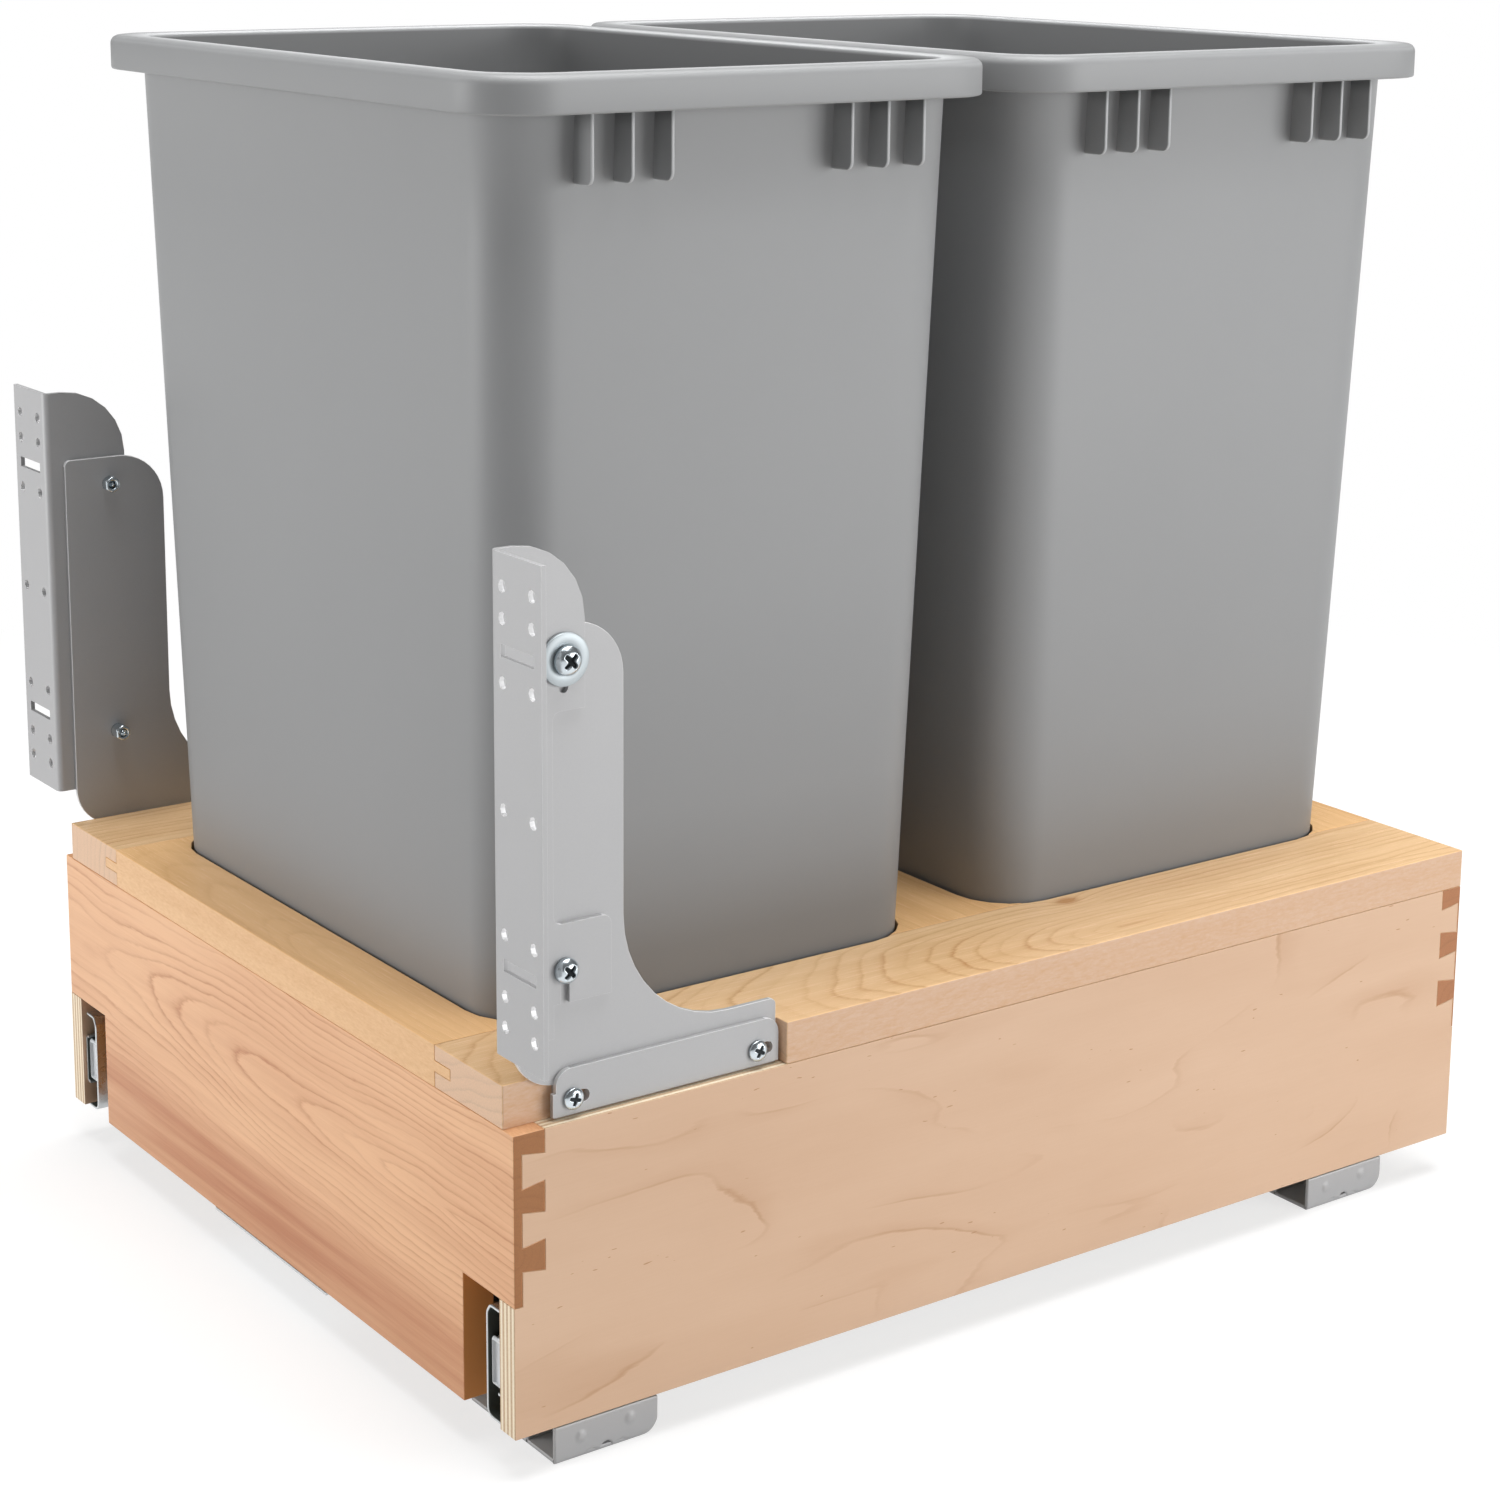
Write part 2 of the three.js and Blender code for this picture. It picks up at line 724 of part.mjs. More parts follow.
function innerRetainer() {
  const webX = middleWeb + slideMetal + (drawerTip - middleWeb - slideMetal - retainerMetal) / 2;
  const ballX = (drawerTip + drawerBack - slideMetal) / 2;
  return ballRetainer(webX, ballX, middleHalf - slideMetal, drawerHalf);
}

function bumper() {
  const x0 = middleWeb + slideMetal + 2 * seatGap;
  const x1 = drawerBack - slideMetal - seatGap;
  const end = bumperSetBack + bumperLength;
  const half = bumperHeight / 2;
  return block(x0, x1, bumperSetBack, end, slideMiddle - half, slideMiddle + half);
}

// A flat-headed screw through the drawer member into the side board, head inside the slide.
function slideScrewAt(y) {
  const seat = drawerBack - slideMetal - seatGap;
  const { head, height, shank, length } = slideScrew;
  return turnedX(
    [
      [0, seat - height],
      [head * 0.8, seat - height],
      [head, seat],
      [shank, seat],
      [shank, seat + length],
      [0, seat + length + shank],
    ],
    y,
    slideMiddle,
  );
}

// ---------------------------------------------------------------- floor brackets, right side

function footBoltPlaces() {
  return [footFrontStart, footRearStart].map((start) => start + footLength / 2);
}

// A pressed foot: a floor plate, an outer side with a drain notch, and an upright for the slide.
function floorBracket(start) {
  const outer = sideFace - footInset;
  const end = start + footLength;
  const middle = (start + end) / 2;
  const side = new THREE.Shape();
  side.moveTo(start, 0);
  side.lineTo(middle - footDrainRadius, 0);
  side.absarc(middle, 0, footDrainRadius, Math.PI, 0, true);
  side.absarc(end - footCornerRadius, footCornerRadius, footCornerRadius, -Math.PI / 2, 0, false);
  side.lineTo(end, footSideHeight);
  side.lineTo(start, footSideHeight);
  side.closePath();
  const plateEnd = end - footCornerRadius;
  const plate = block(outer - footInnerReach, outer - footMetal / 2, start, plateEnd, 0, footMetal);
  const uprightFace = slideBack - seatGap;
  const upright = block(uprightFace - footMetal, uprightFace, start, plateEnd, 0, footUprightHeight);
  const holeStart = uprightFace - footMetal - cutPast;
  const hole = barX(boltShankRadius + seatGap, holeStart, uprightFace + cutPast, middle, slideMiddle);
  return alongX(side, outer - footMetal, outer).add(plate).add(upright).subtract(hole);
}

// The bolt that holds the cabinet member to a floor bracket: a low head in the slide, a nut behind.
function footBolt(y) {
  const headSeat = slideBack + slideMetal + seatGap;
  const nutSeat = slideBack - seatGap - footMetal - seatGap;
  return turnedX(
    [
      [0, nutSeat - boltTailLength],
      [boltHeadRadius, nutSeat - boltTailLength],
      [boltHeadRadius, nutSeat],
      [boltShankRadius, nutSeat],
      [boltShankRadius, headSeat],
      [boltHeadRadius, headSeat],
      [boltHeadRadius * 0.7, headSeat + boltHeadHeight],
      [0, headSeat + boltHeadHeight],
    ],
    y,
    slideMiddle,
    8,
  );
}

// ---------------------------------------------------------------- door brackets, right side

function footClampOuter() {
  return outerFace + seatGap;
}

// Slots for the two foot screws, in both the side plate and the clamp: the bracket moves forward.
function footSlots(x0, x1) {
  const z = recessBottom + footScrewRise;
  return [frontFootScrewY, rearFootScrewY].map((y) =>
    alongX(slotShape(y, z, y + footSlotTravel, z, footSlotWidth), x0, x1),
  );
}

// An upright blade with a round top rear corner, a hollow sweep down to its long foot and a round
// heel that overhangs the tray's front corner.
function sidePlate() {
  const z0 = recessBottom;
  const top = recessBottom + sidePlateHeight;
  const heelTop = recessBottom + sidePlateHeelHeight + sidePlateHeelRadius;
  const footTop = recessBottom + sidePlateFootHeight;
  const corner = sidePlateCorner;
  const heelFoot = bracketFootFront + sidePlateHeelStep;
  const shape = new THREE.Shape();
  shape.moveTo(heelFoot, z0);
  shape.lineTo(bracketFootRear, z0);
  shape.absarc(bracketFootRear - corner, footTop - corner, corner, 0, Math.PI / 2, false);
  const sweepY = sidePlateRear + sidePlateFootRadius;
  const sweepZ = footTop + sidePlateFootRadius;
  shape.absarc(sweepY, sweepZ, sidePlateFootRadius, -Math.PI / 2, -Math.PI, true);
  const bend = sidePlateTopRadius;
  shape.absarc(sidePlateRear - bend, top - bend, bend, 0, Math.PI / 2, false);
  shape.absarc(sidePlateFront + corner, top - corner, corner, Math.PI / 2, Math.PI, false);
  const heelY = sidePlateFront + sidePlateHeelRadius;
  const heelEnd = Math.acos((heelY - heelFoot) / sidePlateHeelRadius);
  shape.absarc(heelY, heelTop, sidePlateHeelRadius, Math.PI, Math.PI + heelEnd, false);
  shape.closePath();
  let plate = alongX(shape, platePlane, plateOuter, fineArcSteps);
  for (const slot of footSlots(platePlane - cutPast, plateOuter + cutPast)) {
    plate = plate.subtract(slot);
  }
  for (const rise of [upperScrewRise, lowerScrewRise]) {
    const z = recessBottom + rise;
    const hole = adjustScrew.shank + seatGap;
    plate = plate.subtract(barX(hole, platePlane - cutPast, plateOuter + cutPast, adjustScrewY, z));
  }
  return plate;
}

// The clamp strip over the foot: round upper corners and a small step at its front end.
function footClamp() {
  const z0 = recessBottom + footClampRise;
  const z1 = z0 + footClampHeight;
  const front = bracketFootFront + footClampStep;
  const radius = footClampRadius;
  const shape = new THREE.Shape();
  shape.moveTo(bracketFootFront, z0);
  shape.lineTo(bracketFootRear, z0);
  shape.absarc(bracketFootRear - radius, z1 - radius, radius, 0, Math.PI / 2, false);
  shape.absarc(front + radius, z1 - radius, radius, Math.PI / 2, Math.PI, false);
  shape.lineTo(front, z0 + footClampHeight / 2);
  shape.lineTo(bracketFootFront, z0 + footClampHeight / 2);
  shape.closePath();
  let clamp = alongX(shape, outerPlane, outerFace);
  for (const slot of footSlots(outerPlane - cutPast, outerFace + cutPast)) {
    clamp = clamp.subtract(slot);
  }
  return clamp;
}

// A folded angle: the front flange takes the door, the side flange has two tabs that reach back
// over the side plate and are slotted for height.
function doorAngle() {
  const rear = lowerTabRear;
  const innerBend = doorBendRadius - bracketMetal;
  const bendX = outerPlane + doorBendRadius;
  const bendY = doorFace + doorBendRadius;
  const section = new THREE.Shape();
  section.moveTo(doorFlangeEnd, doorFace);
  section.lineTo(doorFlangeEnd, doorFace + bracketMetal);
  section.absarc(bendX, bendY, innerBend, (3 * Math.PI) / 2, Math.PI, true);
  section.lineTo(outerFace, rear);
  section.lineTo(outerPlane, rear);
  section.absarc(bendX, bendY, doorBendRadius, Math.PI, (3 * Math.PI) / 2, false);
  section.closePath();

  const corner = doorTabCorner;
  const upperTab = doorTop - upperTabHeight;
  const tabLow = recessBottom + lowerTabBottom;
  const tabHigh = tabLow + lowerTabHeight;
  const side = new THREE.Shape();
  side.moveTo(doorFace - cutPast, doorBottom);
  side.lineTo(doorSideNarrow, doorBottom);
  side.lineTo(doorSideNarrow, tabLow);
  side.lineTo(lowerTabRear, tabLow);
  side.absarc(lowerTabRear - corner, tabHigh - corner, corner, 0, Math.PI / 2, false);
  side.absarc(doorSideNarrow + corner, tabHigh + corner, corner, -Math.PI / 2, -Math.PI, true);
  side.absarc(doorSideNarrow + corner, upperTab - corner, corner, Math.PI, Math.PI / 2, true);
  side.lineTo(doorTabRear, upperTab);
  side.absarc(doorTabRear - doorTopRadius, doorTop - doorTopRadius, doorTopRadius, 0, Math.PI / 2, false);
  side.lineTo(doorFace - cutPast, doorTop);
  side.closePath();

  let angle = alongZ(section, doorBottom, doorTop);
  angle = angle.intersect(alongX(side, outerPlane - cutPast, doorFlangeEnd + cutPast));
  for (const hole of [...doorHoles(), ...adjustSlots()]) {
    angle = angle.subtract(hole);
  }
  return angle;
}

// Two columns of screw holes in the front flange, with a cross slot near each end.
function doorHoles() {
  const y0 = doorFace - cutPast;
  const y1 = doorFace + bracketMetal + cutPast;
  const middle = (doorBottom + doorTop) / 2;
  const columns = [doorFlangeEnd - doorHoleEdge, doorFlangeEnd - doorHoleEdge - doorHoleColumnGap];
  const holes = doorHoleRows.flatMap((row) =>
    columns.map((x) => barY(doorHoleRadius, y0, y1, x, middle + row * doorHolePitch)),
  );
  const slotEnd = doorFlangeEnd - doorSlotEdge;
  const slots = doorSlotRows.map((row) => {
    const z = middle + row * doorHolePitch;
    return block(slotEnd - doorSlotLength, slotEnd, y0, y1, z - doorSlotWidth / 2, z + doorSlotWidth / 2);
  });
  return [...holes, ...slots];
}

// Upright slots in the side flange, down from the screws: a closed one in the upper tab, one open
// below in the lower tab.
function adjustSlots() {
  const upper = recessBottom + upperScrewRise;
  const lower = recessBottom + lowerScrewRise;
  const travel = adjustSlotTravel;
  const tabLow = recessBottom + lowerTabBottom;
  const slots = [
    [upper - travel, upper],
    [tabLow - travel, lower],
  ];
  return slots.map(([z0, z1]) => {
    const shape = slotShape(adjustScrewY, z0, adjustScrewY, z1, adjustSlotWidth);
    return alongX(shape, outerPlane - cutPast, outerFace + cutPast);
  });
}

// A pan-head machine or wood screw along X with a cross recess, its head standing on a face.
function panScrew(spec, seat, y, z) {
  const { head, height, shank, length } = spec;
  const body = turnedX(
    [
      [0, seat - length],
      [shank * 0.4, seat - length],
      [shank, seat - length + shank],
      [shank, seat],
      [head, seat],
      [head, seat + height * 0.4],
      [head * 0.92, seat + height * 0.72],
      [head * 0.62, seat + height * 0.96],
      [0, seat + height],
    ],
    y,
    z,
  );
  const half = crossRecess.width / 2;
  const reach = Math.min(crossRecess.length / 2, head * 0.6);
  const floor = seat + height - crossRecess.depth;
  const top = seat + height + cutPast;
  const upright = block(floor, top, y - half, y + half, z - reach, z + reach);
  const level = block(floor, top, y - reach, y + reach, z - half, z + half);
  return body.subtract(upright.add(level));
}

function washer(seat, y, z) {
  const hole = barX(adjustScrew.shank + seatGap, seat - cutPast, seat + washerThickness + cutPast, y, z);
  return barX(washerRadius, seat, seat + washerThickness, y, z, 24).subtract(hole);
}

// A hexagon nut on the inner face of the side plate.
function nut(length, y, z) {
  const seat = platePlane - seatGap;
  const hole = barX(adjustScrew.shank + seatGap, seat - length - cutPast, seat + cutPast, y, z);
  return barX(nutAcrossCorners / 2, seat - length, seat, y, z, 6).subtract(hole);
}

// ---------------------------------------------------------------- assembly

const unit = new THREE.Group();

function addPiece(group, name, solid, material) {
  const mesh = new THREE.Mesh(geometryOf(solid), material);
  mesh.name = name;
  group.add(mesh);
}

function sidePieces(side) {
  const group = new THREE.Group();
  if (side === "left") {
    group.scale.x = -1;
  }
  const add = (name, solid, material) => addPiece(group, `${side}_${name}`, solid, material);

  add("side_board", sideBoard(), lightMaple);
  add("side_rail", sideRail(), frameMaple);

  add("cabinet_member", cabinetMember(), galvanised);
  add("middle_member", middleMember(), galvanised);
  add("drawer_member", drawerMember(), galvanised);
  add("outer_ball_retainer", outerRetainer(), darkCage);
  add("inner_ball_retainer", innerRetainer(), darkCage);
  add("slide_bumper", bumper(), paleNylon);
  slideScrewY.forEach((y, i) => add(`slide_screw_${i + 1}`, slideScrewAt(y), brightZinc));

  add("front_floor_bracket", floorBracket(footFrontStart), coatedSteel);
  add("rear_floor_bracket", floorBracket(footRearStart), coatedSteel);
  footBoltPlaces().forEach((y, i) => add(`floor_bracket_bolt_${i + 1}`, footBolt(y), brightZinc));

  const upperZ = recessBottom + upperScrewRise;
  const lowerZ = recessBottom + lowerScrewRise;
  const clampZ = recessBottom + footScrewRise;
  const angleFace = outerFace + seatGap;
  const washerFace = angleFace + washerThickness + seatGap;
  add("bracket_side_plate", sidePlate(), coatedSteel);
  add("bracket_foot_clamp", footClamp(), coatedSteel);
  add("door_angle", doorAngle(), coatedSteel);
  add("upper_washer", washer(angleFace, adjustScrewY, upperZ), brightZinc);
  add("upper_screw", panScrew(adjustScrew, washerFace, adjustScrewY, upperZ), brightZinc);
  add("lower_screw", panScrew(lowerScrew, angleFace, adjustScrewY, lowerZ), brightZinc);
  add("upper_nut", nut(upperNutLength, adjustScrewY, upperZ), brightZinc);
  add("lower_nut", nut(lowerNutLength, adjustScrewY, lowerZ), brightZinc);
  add("foot_screw_front", panScrew(footScrew, footClampOuter(), frontFootScrewY, clampZ), brightZinc);
  add("foot_screw_rear", panScrew(footScrew, footClampOuter(), rearFootScrewY, clampZ), brightZinc);
  return group;
}

addPiece(unit, "front_board", crossBoard(frontBoardThickness, frontLap, false), frontMaple);
addPiece(unit, "rear_board", crossBoard(rearBoardThickness, rearLap, true), lightMaple);
addPiece(unit, "bottom_panel", bottomPanel(), plywood);
addPiece(unit, "front_under_plate", underPlate(), galvanised);
for (const [name, span] of Object.entries(crossRailSpans())) {
  addPiece(unit, name, crossRail(span), frameMaple);
}
for (const [name, centre] of Object.entries(binCentres)) {
  addPiece(unit, name, bin(centre), greyPlastic);
}
unit.add(sidePieces("right"), sidePieces("left"));

// The unit runs from the face of the door angles to the back of the tray.
unit.position.y = -(doorFace + trayDepth) / 2;

const pullOutWasteUnit = new THREE.Group();
pullOutWasteUnit.add(unit);

export default pullOutWasteUnit;
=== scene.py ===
# %% [markdown]
# # A pull-out waste unit, dressed for its portrait
#
# Two tapered grey bins hang in the framed top of a dovetailed maple tray. The tray runs on
# ball-bearing slides, and two steel brackets at its front carry the cabinet's door. The packed
# model already gives every piece its size and place, so this lesson is about surfaces: soft edges,
# moulded plastic, lacquered wood, powder-coated and zinc-plated steel.
#
# Everything is in metres, in the model's own frame: +Z is up and the unit's front faces -Y.

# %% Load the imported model
import json
import math

import bmesh
import bpy
import numpy as np
from mathutils import Matrix, Vector

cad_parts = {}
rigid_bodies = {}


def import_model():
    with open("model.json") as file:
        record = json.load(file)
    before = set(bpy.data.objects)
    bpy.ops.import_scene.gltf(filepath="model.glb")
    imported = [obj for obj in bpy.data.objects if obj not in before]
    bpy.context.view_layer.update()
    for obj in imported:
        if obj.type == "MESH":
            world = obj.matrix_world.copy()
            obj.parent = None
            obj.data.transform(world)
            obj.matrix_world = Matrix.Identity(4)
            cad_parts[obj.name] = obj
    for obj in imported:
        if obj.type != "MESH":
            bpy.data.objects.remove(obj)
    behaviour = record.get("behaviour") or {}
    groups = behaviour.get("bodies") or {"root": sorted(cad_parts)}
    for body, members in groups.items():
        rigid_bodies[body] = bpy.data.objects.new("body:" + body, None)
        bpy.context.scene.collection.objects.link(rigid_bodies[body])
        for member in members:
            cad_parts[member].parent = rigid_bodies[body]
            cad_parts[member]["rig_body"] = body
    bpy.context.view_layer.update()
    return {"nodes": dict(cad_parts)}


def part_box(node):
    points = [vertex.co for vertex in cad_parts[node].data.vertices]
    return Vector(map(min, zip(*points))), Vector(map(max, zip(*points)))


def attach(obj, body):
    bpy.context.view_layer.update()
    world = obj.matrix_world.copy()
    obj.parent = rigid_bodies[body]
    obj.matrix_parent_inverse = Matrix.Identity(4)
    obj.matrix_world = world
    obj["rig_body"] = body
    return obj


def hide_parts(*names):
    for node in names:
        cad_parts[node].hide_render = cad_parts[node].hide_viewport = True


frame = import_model()

# %% [markdown]
# ## Two small tools for shaders
#
# A material in Blender is a graph of nodes. Wired by hand it takes ten lines for one sum, so the
# first tool wraps a socket and lets Python's own signs add the Math nodes: `1 - mask * 0.5` is two
# nodes. The second holds the material and makes any other node from its type, its settings and the
# values or links of its sockets.

# %% Value
MM = 0.001
MM_PER_METRE = 1000.0


class Value:
    """One output socket. Each sign below adds a Math node and gives back its output."""

    def __init__(self, shader, socket):
        self.socket = socket
        self.math = shader.math

    def __add__(self, other):
        return self.math("ADD", self, other)

    def __sub__(self, other):
        return self.math("SUBTRACT", self, other)

    def __rsub__(self, other):
        return self.math("SUBTRACT", other, self)

    def __mul__(self, other):
        return self.math("MULTIPLY", self, other)

    def __truediv__(self, other):
        return self.math("DIVIDE", self, other)


print("one millimetre is", MM, "m")

# %% Shader
def grey_level(level):
    """One grey level as an opaque colour."""
    return level, level, level, 1.0


class Shader:
    """The nodes of a material, or of a world, under construction."""

    def __init__(self, name, library=bpy.data.materials):
        self.material = library.new(name)
        self.material.use_nodes = True
        self.tree = self.material.node_tree
        self.tree.nodes.clear()

    def node(self, kind, settings=None, values=None, output=0):
        """One node: its settings first, then each socket's value or link."""
        made = self.tree.nodes.new("ShaderNode" + kind)
        for key, value in (settings or {}).items():
            setattr(made, key, value)
        for key, value in (values or {}).items():
            if isinstance(value, Value):
                self.tree.links.new(value.socket, made.inputs[key])
            else:
                made.inputs[key].default_value = value
        return Value(self, made.outputs[output]) if made.outputs else None

    def here(self):
        """Object coordinates: the place in the model's frame, in metres."""
        return self.node("TexCoord", output="Object")

    def facing(self):
        """The direction that the surface faces, in the model's frame."""
        return self.node("TexCoord", output="Normal")

    def noise(self, where, scale, detail=2.0, roughness=0.5, distortion=0.0):
        """Cloudy noise about 0.5."""
        values = {"Vector": where, "Scale": scale, "Detail": detail}
        values.update(Roughness=roughness, Distortion=distortion)
        return self.node("TexNoise", None, values)

    def math(self, operation, first, second=0.0):
        """One Math node on values or numbers."""
        return self.node("Math", {"operation": operation}, {0: first, 1: second})

    def split(self, vector, axes):
        """The named components of a vector."""
        first = self.node("SeparateXYZ", None, {"Vector": vector})
        return [Value(self, first.socket.node.outputs[axis]) for axis in axes]

    def join(self, x, y, z):
        return self.node("CombineXYZ", None, {"X": x, "Y": y, "Z": z})

    def grain(self, place, scales, *levels):
        """Noise at a place whose three parts are each stretched by a scale."""
        stretched = self.join(*(part * scale for part, scale in zip(place, scales)))
        return self.noise(stretched, 1.0, *levels)

    def length(self, vector):
        return self.node("VectorMath", {"operation": "LENGTH"}, {0: vector}, output="Value")

    def clamp(self, value):
        return self.node("Clamp", None, {"Value": value})

    def ramp(self, value, *stops):
        """A ramp over (place, grey level) stops."""
        made = self.node("ValToRGB", None, {"Fac": value})
        marks = made.socket.node.color_ramp.elements
        while len(marks) < len(stops):
            marks.new(0.5)
        for mark, (place, level) in zip(marks, stops):
            mark.position = place
            mark.color = grey_level(level)
        return made

    def blend(self, factor, first, second):
        """Two colours mixed by a factor."""
        colours = [c if isinstance(c, Value) else (*c, 1.0) for c in (first, second)]
        values = {0: factor, 6: colours[0], 7: colours[1]}
        return self.node("Mix", {"data_type": "RGBA"}, values, output=2)

    def bump(self, height, strength, distance):
        """A Bump node's normal from a height of 0 to 1 that stands for `distance` metres."""
        values = {"Height": height, "Strength": strength, "Distance": distance}
        return self.node("Bump", None, values)

    def painted(self, name):
        """A number stored on the mesh's points, or 0 where the mesh has none of that name."""
        settings = {"attribute_name": name, "attribute_type": "GEOMETRY"}
        return self.node("Attribute", settings, output="Fac")

    def finish(self, **values):
        """Closes the material with a Principled shader. Keys are socket names with _ for spaces."""
        sockets = {key.replace("_", " "): value for key, value in values.items()}
        surface = self.node("BsdfPrincipled", None, sockets)
        self.node("OutputMaterial", None, {"Surface": surface})
        return self.material


def rgb(red, green, blue):
    """A screen colour of 0 to 255 a channel as the linear colour that shaders use."""
    levels = np.array([red, green, blue]) / 255
    linear = np.where(levels <= 0.04045, levels / 12.92, ((levels + 0.055) / 1.055) ** 2.4)
    return tuple(float(level) for level in linear)


print("mid grey in linear light:", rgb(128, 128, 128))

# %% [markdown]
# ## Meshes from arrays
#
# A moulded bin could be box-modelled and subdivided, but its shape is plainly a stack of round-
# cornered rectangles, so it is computed: every ring is one array, the rings are stacked into a
# grid, and the grid goes into the mesh at once. The same few functions then give the fins, the
# screws and the washers.

# %% Pieces
def in_scene(name, data):
    """A new object of the scene from a mesh, a lamp or a camera."""
    made = bpy.data.objects.new(name, data)
    bpy.context.scene.collection.objects.link(made)
    return made


def stand_in(name, mesh, node):
    """An object for the mesh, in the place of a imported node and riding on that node's body."""
    made = in_scene(name, mesh)
    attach(made, frame["nodes"][node]["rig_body"])
    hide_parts(node)
    return made


def piece(node, ending, points, faces, material, slot, **painted):
    """A piece from arrays that stands for a node, whose name it takes with an ending.

    Every further argument is one number per point, which the material can read by its name.
    """
    mesh = bpy.data.meshes.new(node + ending)
    mesh.from_pydata(points.tolist(), [], faces)
    mesh.validate()
    mesh.shade_smooth()
    mesh.materials.append(material)
    for attribute, numbers in painted.items():
        mesh.attributes.new(attribute, "FLOAT", "POINT").data.foreach_set("value", numbers)
    return stand_in(node + ending, mesh, node)


def stack(rings, hoop=False):
    """Points and faces of a closed skin over rings of shape (rows, columns, 3).

    Face i,j joins columns j and j+1 of rows i and i+1. Each end is one many-sided face, or, in a
    hoop, the last ring is joined to the first.
    """
    number = np.arange(rings.shape[0] * rings.shape[1]).reshape(rings.shape[:2])
    ends = [] if hoop else [number[0][::-1].tolist(), number[-1].tolist()]
    if hoop:
        number = np.vstack([number, number[:1]])
    right = np.roll(number, -1, axis=1)
    quads = np.stack([number[:-1], right[:-1], right[1:], number[1:]], axis=-1)
    return rings.reshape(-1, 3), quads.reshape(-1, 4).tolist() + ends


def joined(parts):
    """Several (points, faces) pairs as one."""
    points, faces, start = [], [], 0
    for some, these in parts:
        points.append(some)
        faces.extend([[corner + start for corner in face] for face in these])
        start += len(some)
    return np.vstack(points), faces


print("a stack of 3 rings of 4 points has", len(stack(np.zeros((3, 4, 3)))[1]), "faces")

# %% Round outlines
SIDE_STEP = 0.35


def round_rectangle(half_x, half_y, radius, steps=14):
    """Offsets around a rectangle whose corners are quarter circles, counter-clockwise.

    A corner point is the corner's centre plus radius times (cos, sin) of its angle. Each straight
    side gets two more points near its ends, so that shading there stays flat.
    """
    angle = np.linspace(0, np.pi / 2, steps + 1)
    sides = []
    for turn, (sx, sy) in enumerate([(1, 1), (-1, 1), (-1, -1), (1, -1)]):
        a = angle + turn * np.pi / 2
        x = sx * (half_x - radius) + radius * np.cos(a)
        y = sy * (half_y - radius) + radius * np.sin(a)
        step = np.array([-np.sin(a[[0, -1]]), np.cos(a[[0, -1]])]).T * radius * SIDE_STEP
        bend = np.column_stack([x, y])
        sides.append(np.vstack([bend[0] - step[0], bend, bend[-1] + step[1]]))
    return np.vstack(sides)


def ring_at(level, flat, centre=(0, 0), axis=2):
    """A flat outline moved to its centre, all at one level of the third axis."""
    return np.insert(flat + np.array(centre), axis, level, axis=1)


def arc(radius, start, end, steps):
    """Points of an arc about the origin, between two angles in degrees."""
    a = np.radians(np.linspace(start, end, steps + 1))
    return radius * np.column_stack([np.cos(a), np.sin(a)])


print("points round a bin:", len(round_rectangle(1, 1, 0.1)))

# %% [markdown]
# ## Moulded plastic
#
# The bins are injection-moulded in one mid grey. The mould is lightly polished, so the surface is
# satin, with a fine ripple that only shows in reflections. A flat colour would look like paper:
# a slow cloud in the colour and roughness is what makes it read as plastic. The colour darkens
# towards the bottom, a painted shade. A number on the mesh's points, called tone, paints
# highlights on the moulded edges and paints shade on the inside near the rim, on the rim's top
# and low on the sides.

# %% Grey plastic
def plastic(name, dark, light, roughness, base_shade=0.14):
    make = Shader(name)
    where = make.here()
    ripple = make.noise(where, 900.0, 2.0)
    cloud = make.noise(where, 6.0, 3.0)
    height = make.split(where, "Z")[0]
    # painted shade: the colour darkens towards the bottom of the piece
    base_shaded = make.ramp(height, (0.15, 1 - base_shade), (0.42, 1.0))
    colour = make.blend(cloud, dark, light)
    # the number called tone adds painted highlights and painted shade on the bins
    level = base_shaded * (make.painted("tone") + 1)
    shade = make.node("VectorMath", {"operation": "SCALE"}, {0: colour, "Scale": level})
    return make.finish(
        Base_Color=shade,
        Roughness=cloud * 0.08 + roughness,
        Normal=make.bump(ripple, 0.05, 0.05 * MM),
        Specular_IOR_Level=0.4,
    )


grey = plastic("moulded_grey", rgb(146, 147, 148), rgb(153, 154, 155), 0.42)
nylon = plastic("pale_nylon", rgb(216, 220, 224), rgb(228, 231, 233), 0.45, base_shade=0.0)
print("plastics:", grey.name, nylon.name)

# %% [markdown]
# ## Wood that grows rings
#
# A board is a flat cut through a trunk of nested cones. The distance from the trunk's axis, divided
# by the width of a year's growth, gives the ring number at any point of the board; its fraction
# runs from the soft early wood to the thin dark line of the late wood. Because the axis leans a
# little to the board, the same sum draws long arches on the face, straight lines near the edges
# and arcs on the end grain, and they meet at the board's corners as they do in real timber.
# An image could not do that, so the grain is worked out from the piece's own coordinates.

# %% Maple
YEAR_LINE = ((0, 0.5), (0.05, 1.0), (0.11, 0.7), (0.26, 0.2), (0.55, 0.04), (0.92, 0.0), (1, 0.5))


